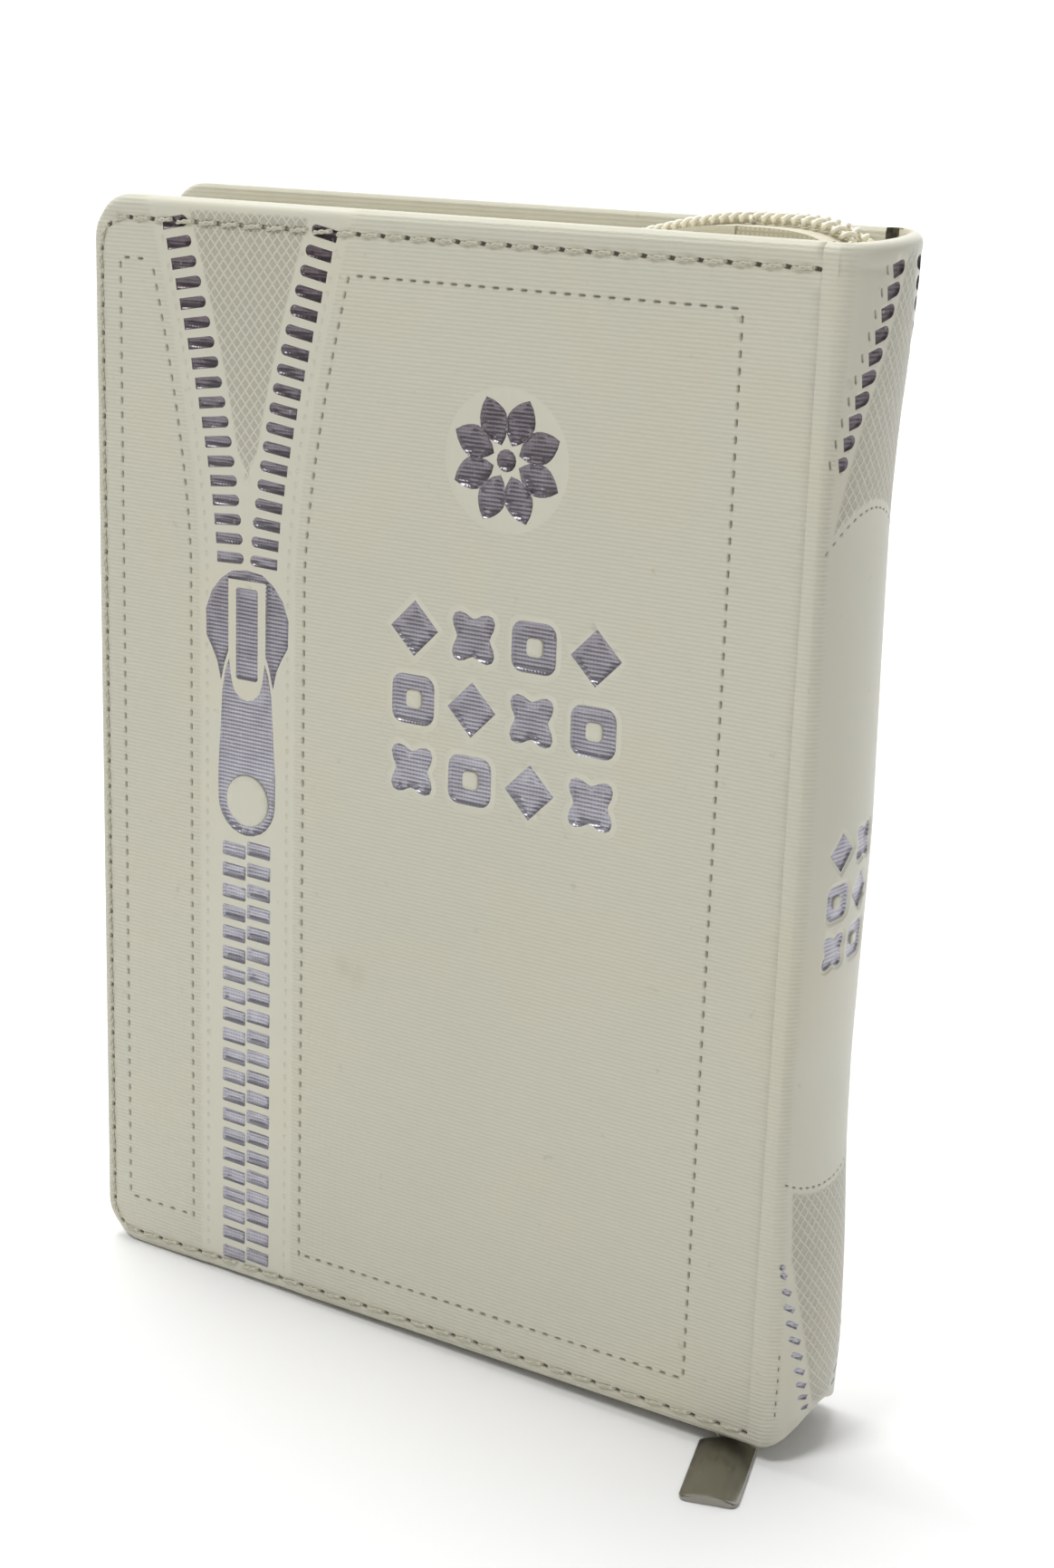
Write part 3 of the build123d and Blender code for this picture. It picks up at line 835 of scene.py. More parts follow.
def closed_teeth(relief):
    """Two rows of meshed teeth below the pull."""
    pitch = 3.55
    for up in np.arange(slider_foot - 2.8, 3.4, -pitch):
        left = placed(rounded_box(4.7, 2.35, 0.3), (motif_centre - 2.5, up), -2)
        right = placed(rounded_box(4.7, 2.35, 0.3), (motif_centre + 2.5, up + 0.2 * pitch), -2)
        for outline in (left, right):
            relief.press(outline, foil_depth, wall=0.16, guard=0.1, foil=True, dull=0.0)


def slider_motif(relief):
    """The drawn slider, its bail and its pull with a ring."""
    centre = (motif_centre, 0)
    crown = [(0, 118.9), (3.7, 118.9), (3.7, 107.4), (4.4, 105.6), (5.2, 102.4), (5.9, 105.4)]
    crown += [(6.9, 107.4), (8.1, 109.4), (8.2, 113.6), (7.0, 116.6), (5.2, 118.7), (3.0, 120.2), (0, 120.6)]
    relief.press(placed(mirrored(crown), centre), foil_depth, foil=True, dull=0.0)
    relief.press(
        placed(rounded_box(4.3, 14.6, 0.5), (motif_centre, 110.4)), foil_depth, foil=True, dull=0.0
    )
    ring_centre, ring_outer, ring_hole = 83.4, 5.7, 4.25
    pull = [(0, ring_centre - ring_outer)]
    for angle in range(-75, 1, 15):
        pull.append((ring_outer * cos(radians(angle)), ring_centre + ring_outer * sin(radians(angle))))
    pull += [(5.75, 88.0), (5.25, 95.0), (4.9, 101.0), (4.3, 104.2), (3.55, 106.2), (3.1, 103.0)]
    pull += [(2.5, 101.2), (1.3, 100.1), (0, 99.8)]
    relief.press(placed(mirrored(pull), centre), foil_depth, foil=True, dull=0.0)
    hole = placed(circle(ring_hole), (motif_centre, ring_centre))
    relief.press(hole, -foil_depth, wall=0.2, guard=0.15, base=-foil_depth, dull=0.0, nested=True)


def petal(length, width, steps=7):
    """A leaf shape, pointed at both ends."""
    shares = [k / steps for k in range(1, steps)]
    right = [(width / 2 * sin(pi * t) ** 0.8, -length / 2 + length * t) for t in shares]
    return [(0, -length / 2)] + right + [(0, length / 2)] + [(-x, y) for x, y in reversed(right)]


def quatrefoil(size, steps=28):
    """A four-lobed flower."""
    points = []
    for k in range(steps):
        angle = tau * k / steps
        reach = size / 2 * (0.80 + 0.20 * cos(4 * angle))
        points.append((reach * cos(angle), reach * sin(angle)))
    return points


def medallion(relief, centre, radius):
    """A plain rosette of petals in a smooth round field."""
    field = placed(circle(radius, 40), centre)
    relief.press(field, 0.14, wall=0.45, guard=0.3, dull=0.0)
    stamp = {"wall": 0.16, "guard": 0.1, "foil": True, "base": -0.14, "dull": 0.0, "nested": True}
    for k in range(8):
        angle = 45 * k + 22.5
        reach = 0.57 * radius
        place = (centre[0] + reach * cos(radians(angle)), centre[1] + reach * sin(radians(angle)))
        leaf = placed(petal(0.70 * radius, 0.46 * radius, 9), place, angle - 90)
        relief.press(leaf, foil_depth, **stamp)
    relief.press(placed(circle(0.16 * radius, 14), centre), foil_depth, **stamp)


def ornament_rows(relief, centre, width, row_count, row_pitch, size, per_row):
    """Rows of plain flowers, lozenges and rings, each in a smooth border that hugs it."""
    step = width / per_row
    border = 0.11 * size
    for row in range(row_count):
        for k in range(per_row):
            spot = (
                centre[0] + (k - (per_row - 1) / 2) * step,
                centre[1] + (row - (row_count - 1) / 2) * row_pitch,
            )
            outline, hole = ornament(k + row, min(size, 0.84 * step), size)
            shape = placed(outline, spot)
            relief.press(grown(shape, border), 0.2, wall=0.3, guard=0.12, dull=0.0)
            stamp = {"wall": 0.18, "guard": 0.1, "dull": 0.0, "nested": True}
            relief.press(shape, foil_depth, foil=True, base=-0.2, **stamp)
            if hole is not None:
                relief.press(placed(hole, spot), -foil_depth, base=-0.2 - foil_depth, **stamp)


def ornament(kind, width, height):
    """The flat outlines of one ornament and of its hole: a flower, a square ring or a lozenge."""
    square = np.array([width, height])
    if kind % 3 == 0:
        return placed(quatrefoil(1.0, 32), (0, 0), 45) * square * 1.12, None
    if kind % 3 == 1:
        hole = rounded_box(0.34 * width, 0.34 * height, 0.1 * width)
        return rounded_box(0.9 * width, 0.9 * height, 0.22 * width), hole
    lozenge = [(0, -height / 2), (width / 2, 0), (0, height / 2), (-width / 2, 0)]
    return np.array(spread(lozenge, 2.0, True)), None


# ================================================================== cover and spine pieces
def rim_lines(relief, end, flip=False):
    """The rounded rim's lines, and the straight end at the hinge; gives the outer edge."""
    edge = None
    for step in rim_steps:
        path = u_path(step, step, step, end, corner_radius - step, 1.6)
        if flip:
            path = np.stack([strip_length - path[:, 0], path[:, 1]], 1)
        edge = path if edge is None else edge
        relief.line(path, closed=False)
    return edge


def hinge_heights():
    """Heights at which the skin's pieces share their points at the hinges."""
    middle = np.linspace(rim_steps[-1], book_height - rim_steps[-1], 110)
    upper_rim = [book_height - step for step in reversed(rim_steps[:-1])]
    return np.concatenate([rim_steps[:-1], middle, upper_rim])


def skin_grime_and_shade(flat):
    """Where the skin is painted darker: near its rim towards the bottom, with painted shade along the seam's
    groove and one faint stain.
    """
    along, up = flat[:, 0], flat[:, 1]
    distance = rim_distance(along, up)
    edge = np.exp(-((distance / 1.6) ** 2)) * smooth((70 - up) / 60) * 0.8
    # painted shade along the seam's groove
    seam = np.exp(-((seam_offset(along, up) / 0.5) ** 2)) * 0.35
    spot = 0.55 * np.exp(-(((along - 51.8) ** 2 + (up - 59.4) ** 2) / 2.6**2) ** 2)
    return np.clip(edge + seam + spot, 0, 1)


def laid_skin(name, relief, wall_edge, wall_depth, turn_in):
    """Lays a relief over the case, with its outer edge turned in round the board."""
    flat, height, ribs, hatched, sunk, faces, foil = relief.triangles()
    base, out = lay(flat[:, 0], flat[:, 1])
    points = base + out * height[:, None]
    top_row = [relief.made_from[k] for k in range(len(wall_edge))]
    edge_base, edge_out = lay(wall_edge[:, 0], wall_edge[:, 1])
    inner = wall_edge.copy()
    centre_up = book_height / 2
    near_fore = np.where(inner[:, 0] > strip_length / 2, strip_length - inner[:, 0], inner[:, 0])
    pull = np.clip(corner_radius - near_fore, 0, corner_radius) / corner_radius
    side = np.where(inner[:, 0] > strip_length / 2, -1.0, 1.0)
    inner[:, 0] += side * turn_in * pull
    inner[:, 1] += np.sign(centre_up - inner[:, 1]) * turn_in * np.clip(
        (np.abs(inner[:, 1] - centre_up) - centre_up + corner_radius) / corner_radius, 0, 1
    )
    inner_base, inner_out = lay(inner[:, 0], inner[:, 1])
    rows, extra = [top_row], []
    for depth, where, way in (
        ((rim_radius + wall_depth) / 2, edge_base, edge_out),
        (wall_depth - 0.25, edge_base, edge_out),
        (wall_depth, edge_base * 0.75 + inner_base * 0.25, edge_out),
        (wall_depth, inner_base, inner_out),
    ):
        first = len(points) + sum(len(e) for e in extra)
        extra.append(where - way * depth)
        rows.append(list(range(first, first + len(where))))
    points = np.concatenate([points] + extra)
    side_faces = loops_to_faces(rows)
    face_list = [tuple(f) for f in faces] + side_faces
    slots = list(foil.astype(int)) + [0] * len(side_faces)
    made = new_mesh(name, points, face_list, [skin_look, foil_look], slots)
    extra_count = len(points) - len(flat)
    face_values(made, "ribs", np.concatenate([ribs, np.full(extra_count, 0.6)]))
    face_values(made, "grime_and_shade", np.concatenate([skin_grime_and_shade(flat), np.full(extra_count, 0.2)]))
    face_values(made, "sunk", np.concatenate([sunk, np.zeros(extra_count)]))
    hatch_values(made, np.pad(flat, ((0, extra_count), (0, 0))), np.pad(hatched, (0, extra_count)))
    fix_directions(made)
    return made


def fix_directions(made):
    """Turns every face of an open shell the same way, outwards."""
    shell = bmesh.new()
    shell.from_mesh(made.data)
    bmesh.ops.recalc_face_normals(shell, faces=shell.faces)
    shell.to_mesh(made.data)
    shell.free()


def front_relief():
    relief = Relief(front_ground)
    end = cover_length - hinge_reach
    edge = rim_lines(relief, end)
    relief.line([(end, up) for up in hinge_heights()[5:-5]], closed=False)
    slider_motif(relief)
    open_teeth(relief)
    closed_teeth(relief)
    medallion(relief, (78, 142.5), 10.4)
    ornament_rows(relief, (78.4, 105.0), 42.0, 3, 10.9, 8.5, 4)
    for side in (-1, 1):
        low, high = seam_low + 2.5, book_height - seam_top - 2.0
        dashed_along(relief, side, tick_half, low, high, 2.1, 1.0, 0.6, -0.3)
    dashed_along(relief, -1, frame_half, left_low + 0.1, frame_top, *frame_mark)
    dashed_along(relief, 1, frame_half, right_low + 0.2, frame_top - 0.1, *frame_mark)
    left_line = motif_centre - frame_half
    right_line = motif_centre + frame_half
    left_top = left_line - float(flare(frame_top))
    right_top = right_line + float(flare(frame_top - 0.1))
    for start, finish in (
        ((frame_left + 0.1, frame_top), (left_top - 0.8, frame_top)),
        ((frame_left, left_low + 0.2), (frame_left + 0.1, frame_top)),
        ((frame_left, left_low), (left_line - 0.6, left_low - 0.1)),
        ((right_top + 0.8, frame_top + 0.1), (frame_right, frame_top + 0.1)),
        ((frame_right, right_low), (frame_right, frame_top - 0.1)),
        ((right_line + 0.6, right_low), (frame_right, right_low)),
    ):
        dashed(relief, start, finish)
    needle_holes(relief)
    clear = grid_points(2.0, end - 0.8, grid_pitch)
    clear = clear[rim_distance(clear[:, 0], clear[:, 1]) > rim_radius + 0.4]
    off_seam = seam_offset(clear[:, 0], clear[:, 1]) > 1.4
    across = np.abs(clear[:, 0] - motif_centre)
    off_hatch = (across > hatch_half(clear[:, 1]) + 0.5) | (clear[:, 1] < hatch_apex)
    relief.scatter(clear[off_seam & off_hatch])
    relief.scatter(seam_free_points())
    relief.scatter(band_free_points())
    relief.scatter(hatch_free_points())
    return relief, edge


def back_relief():
    relief = Relief(back_ground)
    end = cover_length - hinge_reach
    edge = rim_lines(relief, end, flip=True)
    relief.line([(strip_length - end, up) for up in hinge_heights()[5:-5]], closed=False)
    low, high = strip_length - frame_right, strip_length - 9.0
    medallion(relief, ((low + high) / 2, 88.0), 9.6)
    dashed(relief, (low, frame_top), (high, frame_top))
    for along in (low, high):
        dashed(relief, (along, 8.2), (along, 166.2))
    dashed(relief, (low, 7.9), (high, 7.9))
    needle_holes(relief, flip=True)
    clear = grid_points(strip_length - end + 0.8, strip_length - 2.0, grid_pitch * 1.3)
    clear = clear[rim_distance(clear[:, 0], clear[:, 1]) > rim_radius + 0.4]
    relief.scatter(clear[seam_offset(clear[:, 0], clear[:, 1]) > 1.4])
    relief.scatter(seam_free_points(flip=True))
    return relief, edge


front_shape, front_edge = front_relief()
front_skin = laid_skin("front_case_skin", front_shape, front_edge, cover_thickness, skin_inset)
attach(front_skin, "front_cover", "case_skin", "front_cover_skin")
back_shape, back_edge = back_relief()
back_skin = laid_skin(
    "back_case_skin", back_shape, back_edge, cover_thickness + 0.03, skin_inset + back_rise + 0.5
)
attach(back_skin, "back_cover", "case_skin", "back_cover_skin")

# ================================================================== spine
spine_middle = cover_length + spine_arc / 2
upper_middle = spine_middle + 1.5    # the upper motif's apex, a little towards the back
upper_row_top, upper_row_low = 172.3, 145.0
arc_level, arc_fall = 140.7, 0.043
lower_arc_level, lower_arc_rise = 40.0, 0.02
lower_row_top = 31.0


def upper_row(up):
    """Distance of the spine's upper rows of teeth from their middle."""
    return 3.2 + 7.5 * np.clip((upper_row_top + 2 - up) / 29.5, 0, 2)


def lower_row(up):
    """Distance of the spine's lower rows of teeth from its middle."""
    return 4.6 + 6.4 * np.clip((up - 4) / 27, 0, 1) ** 0.9


def spine_ground(along, up):
    across = np.abs(along - spine_middle)
    height = -rim_drop(np.minimum(up, book_height - up))
    height = height - 0.12 * np.exp(-(((up - (book_height - seam_top)) / 0.8) ** 2))
    arch = arc_level - arc_fall * across**2
    upper_across = np.abs(along - upper_middle)
    high_zone = smooth((up - arch) / 0.6) * smooth((upper_row(up) - 2.0 - upper_across) / 0.5 + 0.5)
    sag = lower_arc_level + lower_arc_rise * across**2
    low_zone = smooth((sag - up) / 0.6) * smooth((lower_row(up) - 1.9 - across) / 0.5 + 0.5)
    edge = smooth((10.6 - across) / 0.8)
    clear = smooth((np.minimum(up, book_height - up) - 1.8) / 0.5)
    bare = smooth((across - 9.5) / 1.5)
    return height, bare, clear * edge * np.maximum(high_zone, low_zone)


def spine_relief():
    relief = Relief(spine_ground)
    start = cover_length + spine_start
    end = cover_length + spine_arc - spine_start
    columns = np.linspace(start, end, 20)
    for step in rim_steps:
        relief.line([(a, step) for a in columns], closed=False)
        relief.line([(a, book_height - step) for a in columns], closed=False)
    for side in (start, end):
        relief.line([(side, up) for up in hinge_heights()[5:-5]], closed=False)
    inner_end, outer_end = start + 0.5, end - 0.5
    up = upper_row_top
    while up > upper_row_low:
        size = 2.9 - 1.2 * smooth((156 - up) / 12)
        for side in (-1, 1):
            along = upper_middle + side * float(upper_row(up))
            if inner_end + size / 2 < along < outer_end - size / 2:
                outline = placed(tooth(size, 1.95, round_right=side < 0), (along, up), -side * 14)
                relief.press(outline, foil_depth, wall=0.15, guard=0.1, foil=True, dull=0.0)
            along = upper_middle + side * (float(upper_row(up)) + 2.6)
            if inner_end + 0.6 < along < outer_end - 0.6:
                relief.mark((along, up), 90 - side * 14, 1.5, 0.5, 0.34)
        up -= 2.8
    up = 4.4
    while up < lower_row_top:
        size = 2.5 - 1.5 * smooth((up - 20) / 12) - 0.7 * smooth((8 - up) / 4)
        for side in (-1, 1):
            along = spine_middle + side * float(lower_row(up))
            outline = placed(tooth(size, 0.9, round_right=side > 0), (along, up), side * 30)
            relief.press(outline, foil_depth, wall=0.13, guard=0.07, foil=True, dull=0.0)
        up += 1.35
    ornament_rows(relief, (spine_middle, 84.5), 13.6, 3, 7.4, 5.8, 2)
    for level, bend in ((arc_level, -arc_fall), (lower_arc_level + 1.6, lower_arc_rise)):
        for across in np.arange(-10.4, 10.5, 1.5):
            place = (spine_middle + across, level + bend * across**2 - 0.9)
            relief.mark(place, np.degrees(atan2(2 * bend * across, 1)), 0.95, 0.36, 0.3)
    for side in (-1, 1):
        for mark_up in np.arange(6, 16, 1.9):
            relief.mark((spine_middle + side * 10.6, mark_up), 90, 0.9, 0.34, 0.3)
    rows = grid_points(start + 0.8, end - 0.7, 1.1)
    fine = np.array(
        [
            (a, up)
            for up in np.concatenate([np.arange(4.0, 43.0, 0.36), np.arange(129.0, 173.6, 0.36)])
            for a in np.arange(start + 0.5, end - 0.4, 0.36)
        ]
    )
    coarse = (rows[:, 1] > 43.5) & (rows[:, 1] < 128.5)
    relief.scatter(rows[coarse])
    relief.scatter(fine)
    return relief


def spine_outside():
    """The spine's skin, laid over its waist."""
    flat, height, ribs, hatched, sunk, faces, foil = spine_relief().triangles()
    base, out = lay(flat[:, 0], flat[:, 1])
    points = base + out * height[:, None]
    made = new_mesh("spine_case_skin", points, faces, [skin_look, foil_look], foil.astype(int))
    face_values(made, "ribs", ribs)
    face_values(made, "grime_and_shade", skin_grime_and_shade(flat))
    face_values(made, "sunk", sunk)
    hatch_values(made, flat, hatched)
    attach(made, "spine", "case_skin", "spine_skin", "spine_stiffener")


def spine_inside():
    """The cloth that lines the spine."""
    heights = hinge_heights()
    columns = np.linspace(cover_length - 0.2, cover_length + spine_arc + 0.2, 36)
    depth_rows = [(0.0, rim_radius), (0.0, spine_wall - 0.2), (0.25, spine_wall)]
    levels = depth_rows + [(u, spine_wall) for u in heights[6:-6]]
    levels += [(book_height - u, d) for u, d in reversed(depth_rows)]
    points, rows = [], []
    for up, depth in levels:
        base, out = lay(columns, np.full(len(columns), up))
        rows.append(list(range(len(points), len(points) + len(columns))))
        points += list(base - out * depth)
    inner = new_mesh("spine_inside", points, loops_to_faces(rows), [lining_look])
    face_values(inner, "ribs", np.zeros(len(points)))
    attach(inner, "spine", "lining", "spine_lining")


spine_outside()
spine_inside()


def hinge_strip(name, flip):
    """The soft skin between a cover and the spine, drawn as it lies with the book shut."""
    columns = np.linspace(cover_length - hinge_reach, cover_length + spine_start, 9)
    if flip:
        columns = (strip_length - columns)[::-1]
    heights = hinge_heights()
    points, rows = [], []
    depths = [(0, spine_wall), (0, rim_radius + 0.1)]
    levels = [(up, depth, True) for up, depth in depths]
    levels += [(up, 0.0, False) for up in heights]
    levels += [(book_height - up, depth, True) for up, depth in reversed(depths)]
    for up, depth, wall in levels:
        base, out = lay(columns, np.full(len(columns), up))
        drop = depth if wall else rim_drop(np.full(len(columns), min(up, book_height - up)))
        if not wall:
            groove_top = np.exp(-(((up - (book_height - seam_top)) / seam_groove_width) ** 2))
            groove_low = np.exp(-(((up - seam_low) / seam_groove_width) ** 2))
            share = np.linspace(1, 0, len(columns))
            share = share[::-1] if flip else share
            drop = drop + seam_groove * share * (groove_top + groove_low)
        rows.append(list(range(len(points), len(points) + len(columns))))
        points += list(base - out * np.reshape(drop, (-1, 1)))
    made = new_mesh(name, points, loops_to_faces(rows), [skin_look])
    face_values(made, "ribs", np.full(len(points), 0.9))
    face_values(made, "grime_and_shade", np.zeros(len(points)))
    face_values(made, "sunk", np.zeros(len(points)))
    fix_directions(made)
    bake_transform(made)
    return made


hinge_strip("front_hinge_skin", False)
hinge_strip("back_hinge_skin", True)


# ================================================================== thread, coil and wire tubes
def tube(centres, radius, sides):
    """A round tube through points, with its two ends capped."""
    centres = np.asarray(centres, float)
    ahead = np.gradient(centres, axis=0)
    ahead /= np.linalg.norm(ahead, axis=1)[:, None]
    side = np.cross(ahead, (0.31, 0.17, 0.93))
    side /= np.linalg.norm(side, axis=1)[:, None]
    for k in range(1, len(side)):
        carried = side[k - 1] - ahead[k] * (side[k - 1] @ ahead[k])
        side[k] = carried / np.linalg.norm(carried)
    other = np.cross(ahead, side)
    radii = np.broadcast_to(radius, len(centres))
    points = []
    for k in range(sides):
        angle = tau * k / sides
        points.append(centres + (side * cos(angle) + other * sin(angle)) * radii[:, None])
    points = np.stack(points, 1).reshape(-1, 3)
    rows = [list(range(k * sides, (k + 1) * sides)) for k in range(len(centres))]
    faces = loops_to_faces(rows, closed=True)
    faces += [tuple(reversed(rows[0])), tuple(rows[-1])]
    return points, faces


def gather(name, parts, look):
    """One mesh from several lots of points and faces."""
    points, faces = [], []
    for part_points, part_faces in parts:
        first = len(points)
        points += list(part_points)
        faces += [tuple(i + first for i in f) for f in part_faces]
    return new_mesh(name, points, faces, [look])


def edge_stitches(name, body, flip, replaced):
    """Twisted two-strand stitches along the seam, dipping into the needle holes."""
    path, run, middles = seam_points(seam_end)
    spacing = middles[1] - middles[0]
    length = spacing - 0.85
    parts = []
    for middle in middles:
        share = np.linspace(-1, 1, 11)
        places = np.array([at_run(path, run, middle + s * length / 2) for s in share])
        along = strip_length - places[:, 0] if flip else places[:, 0]
        base, out = lay(along, places[:, 1])
        ground = cover_base(along, places[:, 1])
        lift = ground + 0.22 - 0.5 * np.abs(share) ** 4
        ahead = np.gradient(base, axis=0)
        ahead /= np.linalg.norm(ahead, axis=1)[:, None]
        across = np.cross(out, ahead)
        for strand in (0, pi):
            turn = strand + share * 1.3 * pi
            sway = 0.15 * np.cos(turn) + 0.22 * share
            offset = across * sway[:, None] + out * (0.11 * np.sin(turn) + lift)[:, None]
            parts.append(tube(base + offset, 0.2, 6))
    made = gather(name, parts, thread_look)
    return attach(made, body, "thread", replaced)


edge_stitches("front_edge_thread", "front_cover", False, "front_cover_stitching")
edge_stitches("back_edge_thread", "back_cover", True, "back_cover_stitching")

# ------------------------------------------------------------------ zipper chain
chain_low, chain_fore, chain_top = 4.0, 4.0, 4.5     # tape's middle from the covers' edges
coil_shift = 1.2                                     # coil's middle outside the tape's middle
hump_rise, hump_length = 0.8, 31.0
chain_radius = 10.0
coil_pitch = 1.5
coil_wire = 0.33
end_dip, end_tail, tail_turn, end_past = 3.8, 4.5, radians(35), 1.5


def edge_height(x):
    return (x - x_fore - corner_radius) * spine_rise / (cover_length - corner_radius)


def bend_between(start, end, start_way, end_way, steps=24):
    """A smooth curve between two points with given directions."""
    start, end = np.array(start, float), np.array(end, float)
    chord = np.linalg.norm(end - start)
    t = np.linspace(0, 1, steps)[:, None]
    return (
        (2 * t**3 - 3 * t**2 + 1) * start
        + (t**3 - 2 * t**2 + t) * chord * np.array(start_way)
        + (3 * t**2 - 2 * t**3) * end
        + (t**3 - t**2) * chord * np.array(end_way)
    )


def cover_chain_line():
    """Middle line of the covers' coil, in x and z."""
    x_left = x_fore + chain_fore - coil_shift
    radius = chain_radius + coil_shift
    z_top = book_height - chain_top + coil_shift
    points = [(chain_end, edge_height(chain_end) + chain_low - coil_shift)]
    lower_z = edge_height(x_left + radius) + chain_low - coil_shift
    for centre_z, start in ((lower_z + radius, -90), (z_top - radius, 180)):
        for step in range(13):
            angle = radians(start - 7.5 * step)
            points.append((x_left + radius + radius * cos(angle), centre_z + radius * sin(angle)))
    ramp = chain_end - hump_length
    hump = (chain_end, book_height + hump_rise + coil_shift)
    return np.concatenate([points, bend_between((ramp, z_top), hump, (1, 0), (1, 0))])


def end_chain_line():
    """Middle line of the upper coil that stays with the spine."""
    down = (cos(tail_turn), -sin(tail_turn))
    outward = (sin(tail_turn) * coil_shift, cos(tail_turn) * coil_shift)
    tail_x = x_fold + end_past - down[0] * end_tail + outward[0]
    tail_z = book_height - end_dip - down[1] * end_tail + outward[1]
    start = (chain_end + 0.3, book_height + hump_rise + coil_shift)
    return bend_between(start, (tail_x, tail_z), (1, 0), down)


def coil_half(line, side, phase=0.0):
    """One half of a coil zipper: a flattened helix of nylon along a line in x and z."""
    steps = np.hypot(*np.diff(line, axis=0).T)
    run = np.concatenate([[0], np.cumsum(steps)])
    samples = np.arange(0, run[-1], coil_pitch / 12)
    x, z = np.interp(samples, run, line[:, 0]), np.interp(samples, run, line[:, 1])
    ahead = np.stack([np.gradient(x), np.gradient(z)], 1)
    ahead /= np.linalg.norm(ahead, axis=1)[:, None]
    out = np.stack([-ahead[:, 1], ahead[:, 0]], 1)
    turn = tau * samples / coil_pitch + phase
    reach_y, reach_out = 1.62 - coil_wire, 0.84 - coil_wire
    flattened = np.sign(np.cos(turn)) * np.abs(np.cos(turn)) ** 0.7
    y = y_mid + side * 1.55 + reach_y * flattened * side
    lift = reach_out * np.sin(turn)
    centres = np.stack([x + out[:, 0] * lift, y, z + out[:, 1] * lift], 1)
    return tube(centres, coil_wire, 6)


def coil_core(line, side):
    """The cord that the coil is wound round."""
    y = y_mid + side * 1.9
    centres = np.stack([line[:, 0], np.full(len(line), y), line[:, 1]], 1)
    return tube(centres, 0.34, 8)


cover_line = cover_chain_line()
lower_line = np.array(
    [
        (chain_end + 0.3, edge_height(chain_end) + chain_low - coil_shift),
        (end_coil_end, edge_height(end_coil_end) + chain_low - coil_shift),
    ]
)
for side, body, name in ((-1, "front_cover", "front"), (1, "back_cover", "back")):
    phase = 0.0 if side < 0 else pi
    parts = [coil_half(cover_line, side, phase), coil_core(cover_line, side)]
    made = gather(f"{name}_coil", parts, coil_look)
    attach(made, body, "zipper_coil", f"{name}_zipper_coil")
for name, line in (("lower", lower_line), ("upper", end_chain_line())):
    parts = []
    for side in (-1, 1):
        parts += [coil_half(line, side, 0.0 if side < 0 else pi), coil_core(line, side)]
    made = gather(f"{name}_end_coil_wire", parts, coil_look)
    attach(made, "spine", "zipper_coil", f"{name}_end_coil")


def thin_strip(name, body, lower, upper, thickness, look, slot_name, *replaced):
    """A thin sheet between two lines of points, thickened along y."""
    count = len(lower)
    points, rows = [], []
    for line, shift in ((lower, 0), (upper, 0), (upper, thickness), (lower, thickness), (lower, 0)):
        rows.append(list(range(len(points), len(points) + count)))
        points += [(x, y + shift, z) for x, y, z in line]
    faces = loops_to_faces(rows)
    faces += [tuple(r[0] for r in rows[:4]), tuple(r[-1] for r in reversed(rows[:4]))]
    made = new_mesh(name, points, faces, [look], flat_shaded=True)
    fix_directions(made)
    return attach(made, body, slot_name, *replaced)


def hump_walls():
    """The cream tape's turned-down edges, which close the gap under the raised end of the chain."""
    shift = np.array([0, coil_shift])
    cover_part = cover_line[-24:] - shift
    end_part = end_chain_line() - shift
    foot = book_height - 2.2
    for side, label, body in ((-1, "front", "front_cover"), (1, "back", "back_cover")):
        inner_y = y_mid + side * (half_thickness - cover_thickness)
        for part, line, rides, gap in (
            ("cover", cover_part, body, 0.02),
            ("end", end_part, "spine", 0.32),
        ):
            y = inner_y - side * gap - (0.25 if side > 0 else 0.0)
            kept = [p for p in line if p[1] > foot + 0.3]
            if part == "end":
                kept = [(kept[0][0] - 1.2, kept[0][1])] + kept
            lower = [(x, y, foot) for x, _ in kept]
            upper = [(x, y, z - 0.25) for x, z in kept]
            thin_strip(f"{label}_{part}_gusset", rides, lower, upper, 0.25, tape_look, "zipper_tape")


def spine_cap(name, level, up):
    """Cloth turned in across the open end of the spine."""
    half = half_thickness - cover_thickness - 0.4
    inner_half = half_thickness - spine_wall
    reach = bulge_at(up) - spine_wall
    points, rows = [], []
    for depth in (0.0, 0.3):
        for share in np.linspace(0, 1, 6):
            row = []
            wide = half + (0.98 * inner_half - half) * smooth((share - 0.3) / 0.4)
            for y in np.linspace(-wide, wide, 21):
                outer = x_fold + reach * np.sqrt(1 - (y / inner_half) ** 2)
                row.append(len(points))
                sag = 0.5 * np.sin(pi * share) * (1 - (y / wide) ** 2)
                points.append((56.6 + (outer - 56.6) * share, y_mid + y, level - sag - depth))
            rows.append(row)
    faces = loops_to_faces(rows[:6]) + loops_to_faces(rows[6:][::-1])
    for top_row, low_row in ((rows[0], rows[6]), (rows[11], rows[5])):
        faces += loops_to_faces([low_row, top_row])
    for k in (0, -1):
        faces += loops_to_faces([[r[k] for r in rows[:6]], [r[k] for r in rows[6:]]])
    made = new_mesh(name, points, faces, [lining_look])
    fix_directions(made)
    return attach(made, "spine", "lining")


